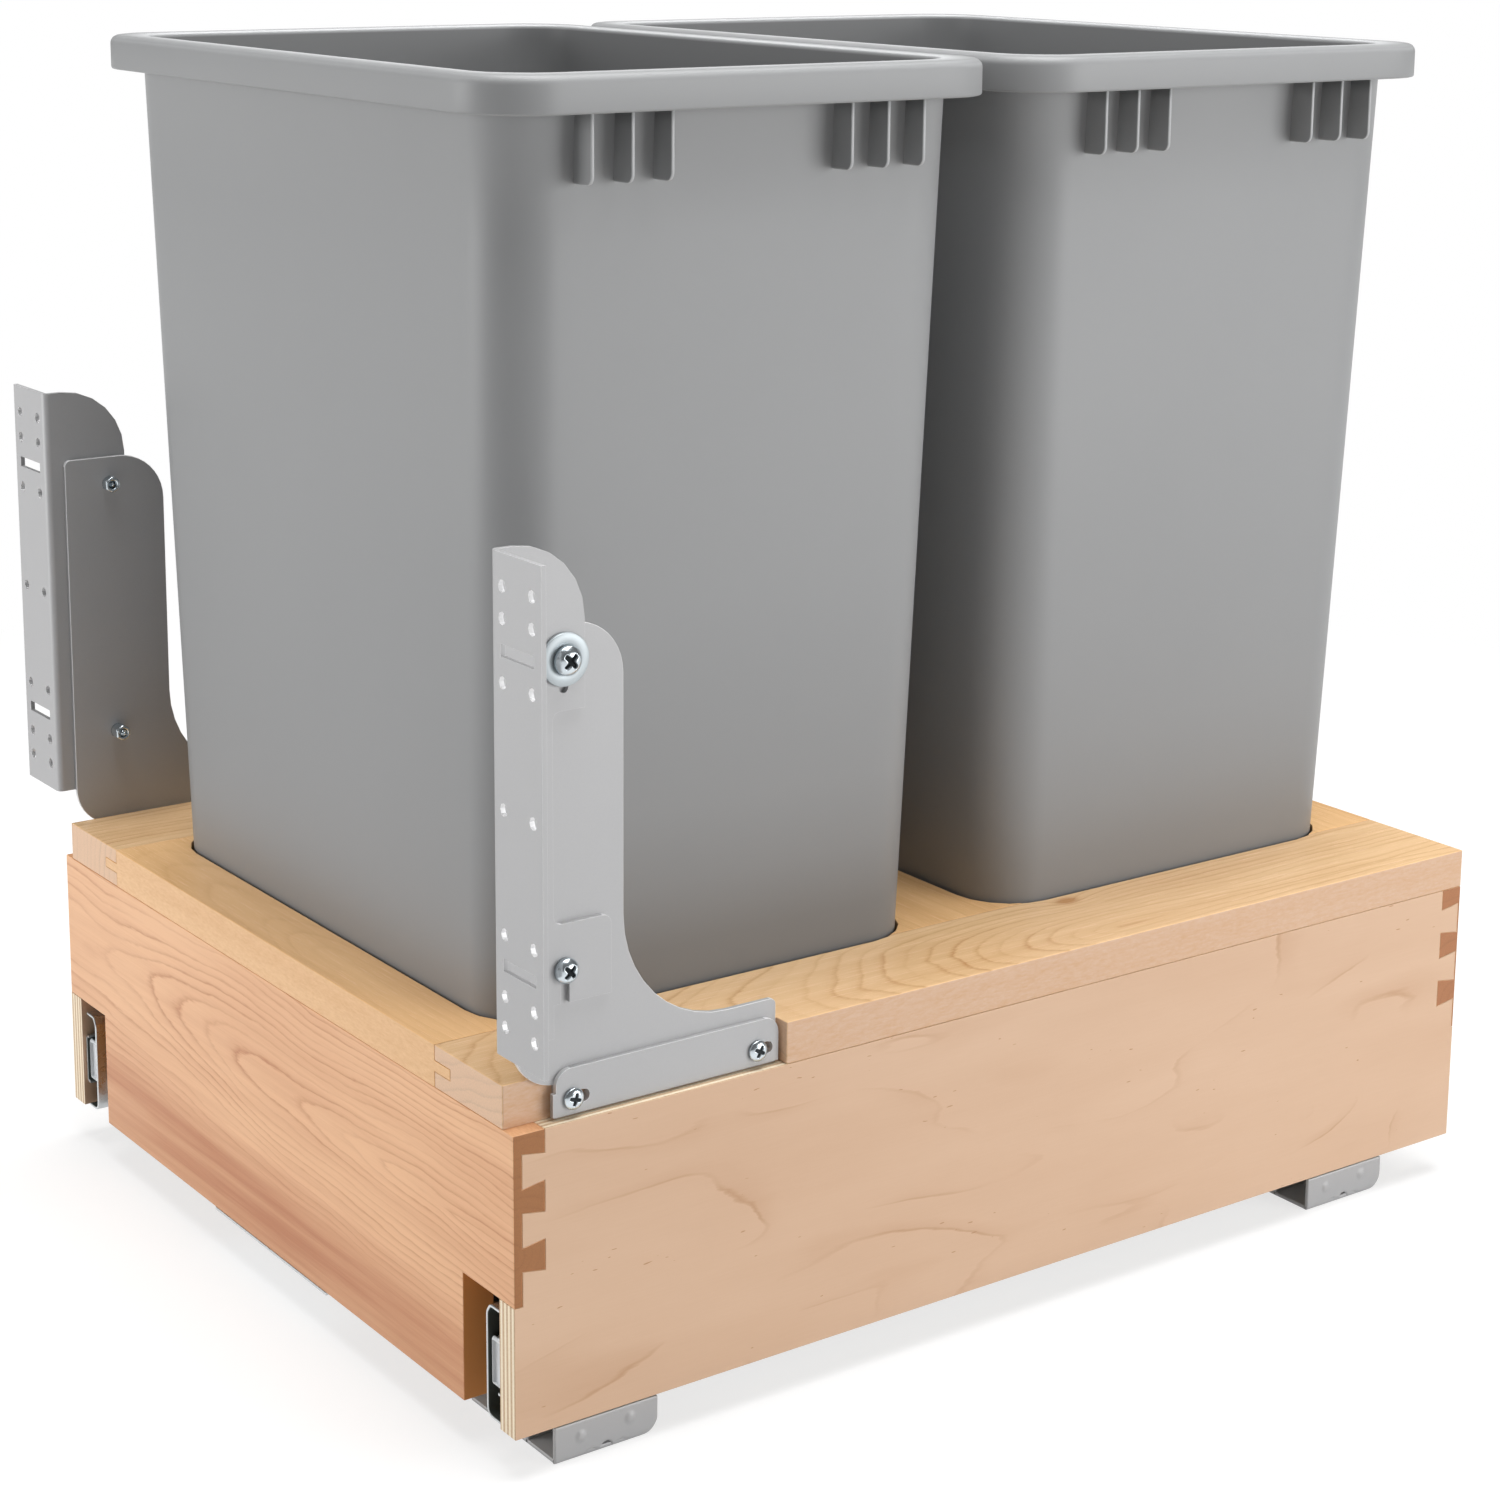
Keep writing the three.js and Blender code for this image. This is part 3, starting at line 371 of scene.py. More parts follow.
def maple(
    name, axes, tones, arch, ring=5.0, sway=30.0, contrast=1.0, fibres=0.3, gloss=0.3,
    knot=None, plain=None, painted_light_below=None,
):
    """Lacquered maple.

    axes names the board's length, width and depth. tones are the colours of early wood, late
    wood, end grain and the long edge. arch gives the growth rings: the lean of the trunk's axis,
    where along the board the arches end and how long a stretch they take, the height of their
    middle line across the face, how far that line drifts, and the depth of the face. Below
    `plain` (a height across the face) the rings fade. The last argument is a height and a colour:
    below that height an end takes the lighter colour, a painted light. All lengths are in
    millimetres.
    """
    make = Shader(name)
    light, dark, end, side = tones
    here = make.here()
    place = along, across, deep = [part * MM_PER_METRE for part in make.split(here, axes)]

    wide = make.join(along * 0.0065, across * 0.014, deep * 0.014)
    bend = make.noise(wide, 1.0, 1.5, 0.4)
    tight = make.grain(place, (0.022, 0.07, 0.07), 1.0)
    fray = make.grain(place, (0.11, 0.8, 0.8), 2.0)
    lean, end_of_arches, stretch, middle, drift, face = arch
    rise = across - middle - along * drift
    run = make.math("MINIMUM", make.math("MAXIMUM", end_of_arches - along, 0.0), stretch)
    depth = run * lean + (deep - face)
    if knot:
        near = make.join(along - knot[0], (across - knot[1]) * 1.6, 0.0)
        away = make.length(near)
        spot = make.math("EXPONENT", away * away * -0.03)
        swirl = make.math("EXPONENT", away * -0.06) * 16.0
    else:
        spot = swirl = 0.0
    radius = make.math("SQRT", rise * rise + depth * depth) + (bend - 0.5) * sway
    radius = radius + (tight - 0.5) * 3.4 + (fray - 0.5) * 1.3 + swirl
    turn = make.math("FRACT", radius / ring)
    line = make.ramp(turn, *YEAR_LINE)
    years = make.grain((radius, along, 0.0), (0.11, 0.005, 1), 1.0)
    grown = line * make.ramp(years, (0.32, 0.1), (0.62, 1.0))
    if plain:
        ringed = make.ramp((rise - plain) / 30.0, (0.0, 0.08), (1.0, 1.0))
        grown = grown * ringed

    fibre = make.grain(place, (0.035, 2.4, 2.4), 3.0, 0.6)
    streak = make.grain(place, (0.0035, 0.13, 0.13), 3.0, 0.55)
    pore = make.grain(place, (0.2, 1.6, 1.6), 2.0, 0.5)
    fleck = make.ramp(pore, (0.0, 0.0), (0.66, 0.0), (0.78, 1.0))
    shade = make.noise(wide, 0.8, 2.0)

    amount = grown * (0.8 * contrast) + (fibre - 0.5) * fibres + (streak - 0.5) * 0.75
    amount = amount + (shade - 0.5) * 0.6 + fleck * (0.14 * contrast) + spot * 1.2 + 0.16
    if plain:
        amount = amount + (1 - ringed) * ((streak - 0.5) * 0.9 + 0.6)
    tone = make.blend(make.clamp(amount), light, dark)

    ways = make.split(make.facing(), axes[:2])
    limits = ((0.0, 0.0), (0.75, 0.0), (0.9, 1.0))
    cut, edge = (make.ramp(make.math("ABSOLUTE", way), *limits) for way in ways)
    pores = make.noise(here, 1400.0, 2.0)
    darker = tuple(level * 0.6 for level in end)
    end_tone = make.blend(make.clamp(grown * 0.3 + pores * 0.6 - 0.15), end, darker)
    # painted light: below a height the end grain takes a lighter colour
    if painted_light_below:
        end_tone = make.blend(make.math("LESS_THAN", across, painted_light_below[0]), end_tone, painted_light_below[1])
    rough_side = make.grain(place, (0.25, 0.6, 0.9), 4.0, 0.7)
    side_amount = (rough_side - 0.5) * 1.1 + (streak - 0.5) * 0.5 + grown * 0.1 + 0.2
    side_tone = make.blend(make.clamp(side_amount), side, dark)
    return make.finish(
        Base_Color=make.blend(cut, make.blend(edge, tone, side_tone), end_tone),
        Roughness=fibre * 0.12 + cut * 0.25 + edge * 0.12 + gloss,
        Normal=make.bump(fibre + grown * 0.3, 0.1, 0.1 * MM),
        Coat_Weight=0.12,
        Coat_Roughness=0.12,
        Specular_IOR_Level=0.35,
    )


front_maple = maple(
    "front_maple", "XZY",
    (rgb(241, 189, 143), rgb(192, 122, 76), rgb(166, 111, 67), rgb(236, 184, 138)),
    arch=(0.1, 150.0, 330.0, 108.0, -0.03, -280.5), ring=3.9, sway=22.0, contrast=0.85,
    # painted light on the end grain low in the slide bays
    plain=-62.0, painted_light_below=(79.0, rgb(216, 142, 76)),
)
rear_maple = maple(
    "rear_maple", "XZY",
    (rgb(232, 192, 152), rgb(196, 142, 100), rgb(176, 118, 78), rgb(228, 186, 146)),
    arch=(0.1, 80.0, 300.0, 90.0, 0.02, 285.0), ring=6.0, contrast=0.7,
)
rail_maple = maple(
    "frame_maple_long", "YXZ",
    (rgb(246, 208, 160), rgb(200, 146, 92), rgb(234, 196, 163), rgb(216, 183, 156)),
    arch=(0.35, 62.0, 900.0, 213.0, 0.0, 174.0), ring=5.5, contrast=0.7,
    fibres=0.16, gloss=0.2, knot=(65.0, 170.0),
)
cross_maple = maple(
    "frame_maple_cross", "XYZ",
    (rgb(252, 205, 148), rgb(206, 148, 86), rgb(204, 156, 114), rgb(241, 196, 145)),
    arch=(0.2, 60.0, 900.0, -262.0, 0.01, 174.0), ring=6.0, contrast=0.28, gloss=0.2,
)
print("nodes in the front board's maple:", len(front_maple.node_tree.nodes))

# %% [markdown]
# ## Plywood
#
# The side boards are plywood. Their face veneer was peeled off the log like paper off a roll, so
# it shows islands and slow contour lines instead of arches: the level lines of a stretched noise.
# Their cut edges show the plies, light and dark in turn.

# %% Plywood
PLY = 1.5
CONTOUR_LINE = ((0, 0.6), (0.025, 1.0), (0.07, 0.35), (0.35, 0.0), (0.985, 0.0), (1, 0.6))


def plywood(name, axes, light, dark):
    """Plywood with a peeled face veneer. axes names its length, width and thickness.

    The face is a hilly noise cut at a few levels: each cut gives one thin line, dark on the line
    and fading to its upper side. A second noise decides where a line shows at all.
    """
    make = Shader(name)
    here = make.here()
    place = along, across, deep = [part * MM_PER_METRE for part in make.split(here, axes)]
    ragged = make.grain((along, across, 0.0), (0.05, 0.3, 1), 3.0) - 0.5
    hills = make.grain(place, (0.0062, 0.021, 0.004), 1.5, 0.35, 0.2) + ragged * 0.022
    contour = make.ramp(make.math("FRACT", hills * 5.5 + 0.1), *CONTOUR_LINE)
    patches = make.grain((along, across, 2.0), (0.009, 0.02, 1), 2.0)
    strength = make.ramp(patches, (0.46, 0.0), (0.62, 1.0))
    fibre = make.grain(place, (0.05, 1.2, 1.2), 4.0, 0.6)
    tint = make.grain((along, across, 7.0), (0.004, 0.02, 1), 3.0, 0.6)
    spots = make.grain(place, (0.16, 0.75, 0.05), 0.0)
    few = make.grain((along, across, 5.0), (0.02, 0.03, 1), 1.0)
    fleck = make.ramp(spots + few * 0.4 - 0.1, (0.0, 0.0), (0.975, 0.0), (0.99, 1.0))
    amount = contour * strength * 0.55 + (fibre - 0.5) * 0.13 + (tint - 0.5) * 0.6 + fleck * 1.6
    face = make.blend(make.clamp(amount + 0.14), light, dark)

    normal = make.split(make.facing(), axes[2])[0]
    cut = make.ramp(make.math("ABSOLUTE", normal), (0.0, 1.0), (0.6, 1.0), (0.8, 0.0))
    layer = make.math("FRACT", deep / (2 * PLY))
    stripe = make.ramp(layer, (0.0, 0.0), (0.46, 0.0), (0.5, 1.0), (0.96, 1.0), (1.0, 0.0))
    grit = make.noise(here, 1300.0, 2.0)
    edge_amount = make.clamp(stripe * 0.75 + (grit - 0.5) * 0.5)
    edge = make.blend(edge_amount, rgb(250, 236, 209), rgb(192, 152, 112))
    return make.finish(
        Base_Color=make.blend(cut, face, edge),
        Roughness=fibre * 0.1 + cut * 0.15 + 0.34,
        Normal=make.bump(fibre, 0.08, 0.1 * MM),
        Coat_Weight=0.1,
        Coat_Roughness=0.25,
        Specular_IOR_Level=0.35,
    )


side_ply = plywood("side_maple", "YZX", rgb(219, 185, 156), rgb(186, 141, 104))
panel_ply = plywood("bottom_plywood", "YXZ", rgb(222, 194, 154), rgb(196, 158, 114))
print("nodes in the plywood:", len(side_ply.node_tree.nodes))

# %% [markdown]
# ## Metals
#
# Six finishes: a silver powder coat on the brackets and its paler edge, which paints a highlight,
# bright electroplated zinc on the screws, duller zinc on the washers, hot-dip zinc with faint
# crystals on the slides, and the dark steel of the ball cages. A metal's colour hardly varies; what
# tells one from the next is the roughness and the size of its specks.

# %% Metals
SPECK_SCALE = 2600.0


def metal(name, dark, light, metallic, roughness, cells=0.0, grime=None):
    """A metal finish: fine specks in the colour, a slow cloud or zinc crystals in the roughness.

    Where a mesh carries an attribute of painted shade, the finish goes dark and dull: painted
    shade in a screw's recess and inside the front end of a slide's channel.
    """
    make = Shader(name)
    where = make.here()
    specks = make.noise(where, SPECK_SCALE, 2.0)
    if cells:
        values = {"Vector": where, "Scale": cells, "Randomness": 1.0}
        crystal = make.node("TexVoronoi", {"feature": "F1"}, values, output="Color")
        cloud = make.node("RGBToBW", None, {"Color": crystal})
    else:
        cloud = make.noise(where, 14.0, 3.0)
    colour = make.blend(make.clamp(specks * 0.6 + cloud * 0.4), dark, light)
    rough = cloud * 0.1 + specks * 0.06 + roughness
    if grime:
        shade_paint = make.painted("grime")
        colour = make.blend(shade_paint, colour, grime)
        metallic = (1 - shade_paint * 0.7) * metallic
        rough = rough + shade_paint * 0.4
    return make.finish(
        Base_Color=colour,
        Metallic=metallic,
        Roughness=rough,
        Normal=make.bump(specks, 0.08, 0.03 * MM),
    )


coated = metal("coated_steel", rgb(168, 168, 169), rgb(182, 182, 183), 0.25, 0.42)
# the paler edge finish paints a highlight on bevels and inside punched holes
coated_highlight = metal("coated_steel_painted_highlight", rgb(216, 216, 217), rgb(230, 230, 231), 0.3, 0.3)
# dark colours of painted shade, for screw recesses and for the inside of the slides' channels
shade_paint = rgb(30, 38, 42)
zinc = metal("bright_zinc", rgb(190, 200, 206), rgb(216, 224, 229), 1.0, 0.16, grime=shade_paint)
washer_zinc = metal("brushed_zinc", rgb(168, 176, 180), rgb(190, 197, 200), 0.6, 0.4)
channel_shade = rgb(58, 64, 60)
pale, bright = rgb(188, 192, 194), rgb(222, 226, 228)
galvanised = metal("galvanised", pale, bright, 0.95, 0.22, cells=420.0, grime=channel_shade)
cage = metal("dark_cage", rgb(58, 62, 60), rgb(78, 82, 80), 0.6, 0.35)
for made in (coated, coated_highlight, zinc, washer_zinc, galvanised, cage):
    print(made.name, "has", len(made.node_tree.nodes), "nodes")

# %% [markdown]
# ## The bins
#
# Each bin is one skin: from the middle of the underside out over the round base edge, up the
# leaning wall, out into the hollow rim, down its skirt and back up, over the top and down the
# inside. The fins under the short ends of the rim are small stacks of their own that run into the
# wall.

# %% Bin shapes
bin_sizes = {
    "height": 545, "wall": 2.4, "draft": (0.041, 0.016), "overhang": (13.6, 12),
    "skirt": 16.1, "skirt_wall": 2.2, "corner": 28, "rim_radius": 32, "rim_round": 4,
    "base_round": 9, "lip": 1.1,
}
# Painted light on the bins: shade inside near the rim and on the rim's top, highlights on the lip
# and the fins' outer edges
tones = {"inside": -0.32, "rim_top": -0.2, "lip": 0.45, "fin": 0.5}
# Painted shade low on the bins' sides that face the side rails, more on the front bin
low_side_shade = {"front_bin": -0.31, "rear_bin": -0.13}
low_side_shade_heights = (194, 223, 257, 352)
low_side_shade_share = (1, 0.5, 0.15, 0)


def bin_shell(half, centre_y, top, low_side_shade_tone):
    """The bin's rings, in millimetres, and each point's tone.

    The wall's half sizes fall with the depth below the rim's top by the draft of each pair of
    sides. Each round edge is a quarter circle of rows. Low on the two sides that face the side
    rails the skin gets painted shade; round a corner that fades with the distance in x.
    """
    s = bin_sizes

    def wall(z, inset):
        x = half[0] - s["overhang"][0] - (top - z) * s["draft"][0] - inset
        y = half[1] - s["overhang"][1] - (top - z) * s["draft"][1] - inset
        return z, x, y, s["corner"] - inset

    def rim(z, inset):
        return z, half[0] - inset, half[1] - inset, s["rim_radius"] - inset

    base = top - s["height"]
    skirt = top - s["skirt"]
    under = top - s["skirt_wall"]
    w = s["wall"]
    r = s["base_round"]
    lip = s["skirt_wall"] / 2
    rows = [wall(base + r + r * up, r - r * out) for out, up in arc(1, -90, 0, 6)]
    rows += [wall(base + share * (skirt - base), 0) for share in (0.03, 0.3, 0.355, 0.42, 0.6, 0.9)]
    rows += [wall(under - 1.5, 0), wall(under, -1.2)]
    rows += [rim(under - 0.2, s["skirt_wall"] + 1.5), rim(under - 1.5, s["skirt_wall"])]
    rows += [rim(skirt + lip + up, lip - out) for out, up in arc(lip, 180, 360, 6)]
    r = s["rim_round"]
    rows += [rim(top - r + up, r - out) for out, up in arc(r, 0, 90, 6)]
    outside = len(rows)
    r = s["lip"]
    rows += [wall(top - r + up, w - r - out) for out, up in arc(r, 90, 180, 4)]
    lip_end = len(rows)
    rows += [wall(top - r - 1.2, w)]
    rows += [wall(base + w + share * (skirt - base), w) for share in (0.97, 0.6, 0.3)]
    r = s["base_round"]
    rows += [wall(base + w + r + r * up, w + r - r * out) for out, up in arc(1, 0, -90, 6)]
    rings = []
    for z, x, y, radius in rows:
        flat = round_rectangle(x, y, radius)
        rings.append(ring_at(z, flat, (0, centre_y)))
    rings = np.array(rings)
    height = rings[:, 0, 2]
    tone = np.zeros(len(rows))
    # painted shade on the rim's top and inside near the rim, painted highlight along the lip
    tone[outside - 4 : outside] = tones["rim_top"]
    tone[outside:lip_end] = tones["lip"]
    tone[lip_end : lip_end + 2] = tones["inside"]
    # painted shade low on the sides that face the rails
    rail_side_shade_rows = low_side_shade_tone * np.interp(height, low_side_shade_heights, low_side_shade_share)
    rail_side_shade_rows[outside:] = 0
    facing_x = np.clip((np.abs(flat[:, 0]) - x + radius) / radius, 0, 1)
    return rings, (tone[:, None] + np.outer(rail_side_shade_rows, facing_x)).ravel()


print("a bin is", bin_sizes["height"], "mm high with a wall of", bin_sizes["wall"], "mm")

# %% Fin shapes
fin_sizes = {"pitch": 19.5, "group": 65.7, "drop": 29, "thickness": 1.6, "round": 4}


def fin(half_x, side, y, top):
    """One fin: level slices of a thin upright plate, longest under the skirt, and their tones,
    which paint a highlight along the fin's outer edge.

    The outer end of a slice follows a quarter circle near the bottom, and the first slices are
    drawn in a little, which rounds the lower edge.
    """
    s, f = bin_sizes, fin_sizes
    bottom = top - s["skirt"] - f["drop"]
    edge = half_x - s["skirt_wall"] * 0.8
    rise = np.array([0.0, 0.15, 0.5, 1.0, 2.0, 3.0, f["round"], 10.0, 22.0, f["drop"] + 5])
    drawn_in = np.array([0.6, 0.35, 0.1, 0, 0, 0, 0, 0, 0, 0])
    low = np.clip(1 - rise / f["round"], 0, 1)
    outer = edge - f["round"] * (1 - np.sqrt(1 - low**2)) - drawn_in
    z = bottom + rise
    inner = half_x - s["overhang"][0] - (top - z) * s["draft"][0] - s["wall"] * 0.6
    thick = f["thickness"] / 2 - drawn_in * 0.8
    rows = []
    for z_here, x0, x1, t in zip(z, inner, outer, thick):
        loop = round_rectangle((x1 - x0) / 2, t, t * 0.7, steps=3)
        rows.append(ring_at(z_here, side * loop, (side * (x0 + x1) / 2, y)))
    rings = np.array(rows)
    reach = np.abs(rings[:, :, 0])
    # painted highlight along the fin's outer edge
    return rings, np.where(reach > outer[:, None] - 0.5, tones["fin"], 0.0).ravel()


print("a fin hangs", fin_sizes["drop"], "mm below the skirt")

# %% [markdown]
# ## Two bins
#
# The two bins are one moulding, so one loop makes both. Each takes its size and place from the
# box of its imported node, gets three fins in each of four groups, and becomes one mesh, because a
# real bin is one shot of plastic.

# %% Two bins
for name in ("front_bin", "rear_bin"):
    low, high = (np.array(corner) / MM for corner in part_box(name))
    half = (high[:2] - low[:2]) / 2
    centre_y = (low[1] + high[1]) / 2
    skins = [bin_shell(half, centre_y, high[2], low_side_shade[name])]
    for side in (-1, 1):
        for group in (-1, 1):
            for step in (-1, 0, 1):
                y = centre_y + group * fin_sizes["group"] + step * fin_sizes["pitch"]
                skins.append(fin(half[0], side, y, high[2]))
    points, faces = joined([stack(rings * MM) for rings, tone in skins])
    tone = np.hstack([tone for rings, tone in skins])
    made = piece(name, "_shell", points, faces, grey, "grey_plastic", tone=tone)
    print(made.name, len(made.data.polygons), "faces, height", high[2] - low[2], "mm")

# %% [markdown]
# ## Soft edges on boards and sheet metal
#
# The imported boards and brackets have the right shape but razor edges, and an edge without a small
# round catches no light. Each is copied, its loose triangles are welded, and a Bevel modifier
# rounds what is sharp: half a millimetre on sanded wood, less on sheet metal.

# %% Softened copy
PUNCHED_FACE = 8 * MM**2
WELD = 0.01 * MM
SHARP = math.radians(30)
FLAT = math.radians(0.5)


def values_of(items, name, kind=np.float32, width=1):
    """One property of every item of a mesh, as an array."""
    numbers = np.empty(len(items) * width, kind)
    items.foreach_get(name, numbers)
    return numbers.reshape(-1, width)


def swell(mesh, distance):
    """Moves every flat face outwards by a distance.

    A corner's move m answers n . m = distance for the normals n of the faces round it, in the
    sense of least squares: m is the pseudo-inverse of the sum of n n' times the sum of n times
    the distance.
    """
    corners = values_of(mesh.loops, "vertex_index", np.int32)[:, 0]
    sides = values_of(mesh.polygons, "loop_total", np.int32)[:, 0]
    normals = np.repeat(values_of(mesh.polygons, "normal", width=3), sides, axis=0).astype(float)
    spread = np.zeros((len(mesh.vertices), 3, 3))
    push = np.zeros((len(mesh.vertices), 3, 1))
    np.add.at(spread, corners, normals[:, :, None] * normals[:, None, :])
    np.add.at(push, corners, normals[:, :, None])
    moves = (np.linalg.pinv(spread, rcond=1e-6, hermitian=True) @ push)[:, :, 0] * distance
    moved = values_of(mesh.vertices, "co", width=3) + moves
    mesh.vertices.foreach_set("co", moved.astype(np.float32).ravel())
    mesh.update()


def merged_copy(node, material, bevel, grow, highlight_finish=None):
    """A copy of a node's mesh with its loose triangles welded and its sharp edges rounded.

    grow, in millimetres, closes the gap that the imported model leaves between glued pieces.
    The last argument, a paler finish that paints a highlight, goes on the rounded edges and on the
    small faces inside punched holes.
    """
    name = node + "_finished"
    mesh = frame["nodes"][node].data.copy()
    mesh.name = name
    work = bmesh.new()
    work.from_mesh(mesh)
    bmesh.ops.remove_doubles(work, verts=work.verts, dist=WELD)
    bmesh.ops.dissolve_limit(work, angle_limit=FLAT, verts=work.verts, edges=work.edges)
    work.to_mesh(mesh)
    work.free()
    swell(mesh, grow * MM)
    mesh.shade_smooth()
    mesh.materials.clear()
    mesh.materials.append(material)
    made = stand_in(name, mesh, node)
    edge = made.modifiers.new("soft edges", "BEVEL")
    edge.width = bevel * MM
    edge.segments = 2
    edge.limit_method = "ANGLE"
    edge.angle_limit = SHARP
    # painted highlight on the rounded edges and inside punched holes
    if highlight_finish:
        mesh.materials.append(highlight_finish)
        edge.material = 1
        small = values_of(mesh.polygons, "area") < PUNCHED_FACE
        mesh.polygons.foreach_set("material_index", small.astype(np.int32).ravel())
    even = made.modifiers.new("flat faces", "WEIGHTED_NORMAL")
    even.mode = "FACE_AREA"
    even.weight = 100
    return made


print("edges sharper than", round(math.degrees(SHARP)), "degrees get a bevel")

# %% Boards, rails and sheet metal
GLUE_GAP = 0.13
SHEET_GAP = 0.12
SIDES = ("right_", "left_")
wooden = {
    "front_board": (front_maple, "front_maple", 0.5),
    "rear_board": (rear_maple, "side_maple", 0.5),
    "right_side_board left_side_board": (side_ply, "side_maple", 0.4),
    "right_side_rail left_side_rail": (rail_maple, "frame_maple", 1.0),
    "front_rail middle_rail rear_rail": (cross_maple, "frame_maple", 0.4),
}
steel = {"bracket_side_plate": 0.35, "bracket_foot_clamp": 0.45, "door_angle": 0.35}
for nodes, (material, slot, bevel) in wooden.items():
    for node in nodes.split():
        merged_copy(node, material, bevel, GLUE_GAP)
for side in SIDES:
    for node, bevel in steel.items():
        made = merged_copy(side + node, coated, bevel, SHEET_GAP, coated_highlight)
print(made.name, "has the modifiers", made.modifiers.keys())

# %% [markdown]
# ## Rolled slide members and pressed feet
#
# The unit has a right and a left hand. Everything here is worked out for the right side, and the
# left one is its mirror image: two small functions read a node's box and mirror the rings.

# %% One drawing for both sides
def side_of(node):
    """The node's box in millimetres, as if it stood on the right, and its real side."""
    low, high = (np.array(corner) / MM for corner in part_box(node))
    if high[0] > 0:
        return low, high, 1
    return np.array([-high[0], low[1], low[2]]), np.array([-low[0], high[1], high[2]]), -1


def handed(rings, side):
    """Rings drawn for the right side, mirrored in X for the left, as (points, faces) in metres.

    A mirror turns a skin inside out, so the order of each ring's points is turned back.
    """
    placed = rings * np.array([side, 1, 1]) * MM
    return stack(placed if side > 0 else placed[:, ::-1])


print("the left foot's box, drawn on the right:", side_of("left_front_floor_bracket")[0].round(1))

# %% [markdown]
# A slide member is a strip rolled to a C. Its section is a broken line whose corners are rounded
# with quadratic curves, thickened to both sides and carried along Y. It could be a bevelled copy,
# as the boards are, but the wide bends are what tells rolled steel from cut steel.

# %% Rolled channel
def rounded_line(corners, radii, steps=5):
    """A broken line with round corners.

    Each inner corner becomes a quadratic curve: (1-t)^2 a + 2t(1-t) p + t^2 b, where a and b lie
    the corner's radius away from it along its two sides.
    """
    p = np.array(corners, float)
    before, here, after = p[:-2], p[1:-1], p[2:]
    reach = np.array(radii, float)[:, None]
    a = here + (before - here) / np.linalg.norm(before - here, axis=1)[:, None] * reach
    b = here + (after - here) / np.linalg.norm(after - here, axis=1)[:, None] * reach
    t = np.linspace(0, 1, steps)[None, :, None]
    bends = (1 - t) ** 2 * a[:, None] + 2 * t * (1 - t) * here[:, None] + t**2 * b[:, None]
    return np.vstack([p[:1], bends.reshape(-1, 2), p[-1:]])


SLIDE_SHEET = 1.4
TIP_GAP = 0.2
CUT_CORNER = (2.6, 3.6)
SOFT_END = 0.3
SHADED_REACH = 24


def channel(node, corners, radii):
    """A strip along Y with the given section. Its ends are drawn in a little.

    Painted shade darkens the inside of the strip near its front end, on the side that is nearer to
    the section's middle.
    """
    low, high, side = side_of(node)
    line = rounded_line(corners, radii)
    along = np.gradient(line, axis=0)
    normal = np.column_stack([along[:, 1], -along[:, 0]])
    normal /= np.linalg.norm(normal, axis=1)[:, None]
    rings = []
    places = low[1] + np.array([0, SOFT_END, SHADED_REACH, 2 * SHADED_REACH])
    places = np.hstack([places, high[1] - SOFT_END, high[1]])
    for y, share in zip(places, (0.6, 1, 1, 1, 1, 0.6)):
        half = normal * SLIDE_SHEET / 2 * share
        loop = np.vstack([line + half, (line - half)[::-1]])
        rings.append(ring_at(y, loop, axis=1))
    centre = line.mean(axis=0)
    away = np.linalg.norm(np.vstack([line, line[::-1]]) - centre, axis=1)
    inner = (np.linalg.norm(loop - centre, axis=1) < away).astype(float)[::-1]
    # painted shade inside the channel for its first stretch from the front end
    grime = np.outer([0, 1, 1, 0, 0, 0], inner if side > 0 else inner[::-1]).ravel()
    points, faces = handed(np.array(rings)[:, ::-1], side)
    made = piece(node, "_rolled", points, faces, galvanised, "galvanised", grime=grime)
    made.data.set_sharp_from_angle(angle=math.radians(40))
    return made


def c_section(node, opens=1):
    """The middle line of a C inside a node's box: tip, two bends at the web, and tip."""
    low, high = side_of(node)[:2]
    web, tip = (low[0], high[0]) if opens > 0 else (high[0], low[0])
    web, tip = web + opens * SLIDE_SHEET / 2, tip - opens * TIP_GAP
    bottom, top = low[2] + SLIDE_SHEET / 2, high[2] - SLIDE_SHEET / 2
    return [(tip, top), (web, top), (web, bottom), (tip, bottom)]


for side in SIDES:
    tip, (web, top), *rest = c_section(side + "cabinet_member")
    cut = [(web + CUT_CORNER[0], top), (web, top - CUT_CORNER[1])]
    channel(side + "cabinet_member", [tip, *cut, *rest], [1.4, 1.4, 4.5])
    channel(side + "middle_member", c_section(side + "middle_member"), [2.4, 2.4])
    made = channel(side + "drawer_member", c_section(side + "drawer_member", -1), [1.8, 1.8])
print(made.name, "has", len(made.data.polygons), "faces")

# %% [markdown]
# A foot is pressed from one sheet. Its outer side is a grid over length and height with a drain
# notch and two scallops in its lower edge and two raised pips on its face. Pips could be drawn by
# a bump in the material, but here they are real: they show against the light from any side.

# %% Pressed foot
def slab(low, high, corner):
    """A block from level rings: its upright edges have a radius, its level ones are drawn in."""
    centre, half = (low + high) / 2, (high - low) / 2
    rings = []
    bottom, top, soft = low[2], high[2], SOFT_END
    for z, inset in ((bottom, soft), (bottom + soft, 0), (top - soft, 0), (top, soft)):
        flat = round_rectangle(half[0] - inset, half[1] - inset, corner, steps=4)
        rings.append(ring_at(z, flat, centre[:2]))
    return np.array(rings)


foot_sizes = {"metal": 2, "side": 16.5, "corner": 7, "notch": 3, "pip": 2.4, "pip_rise": 0.8}
scallop = {"height": 1.5, "away": 7.5, "width": 2.8}
pip_places = ((-13, 9.5), (12, 10.5))
SEAT_GAP = 0.3


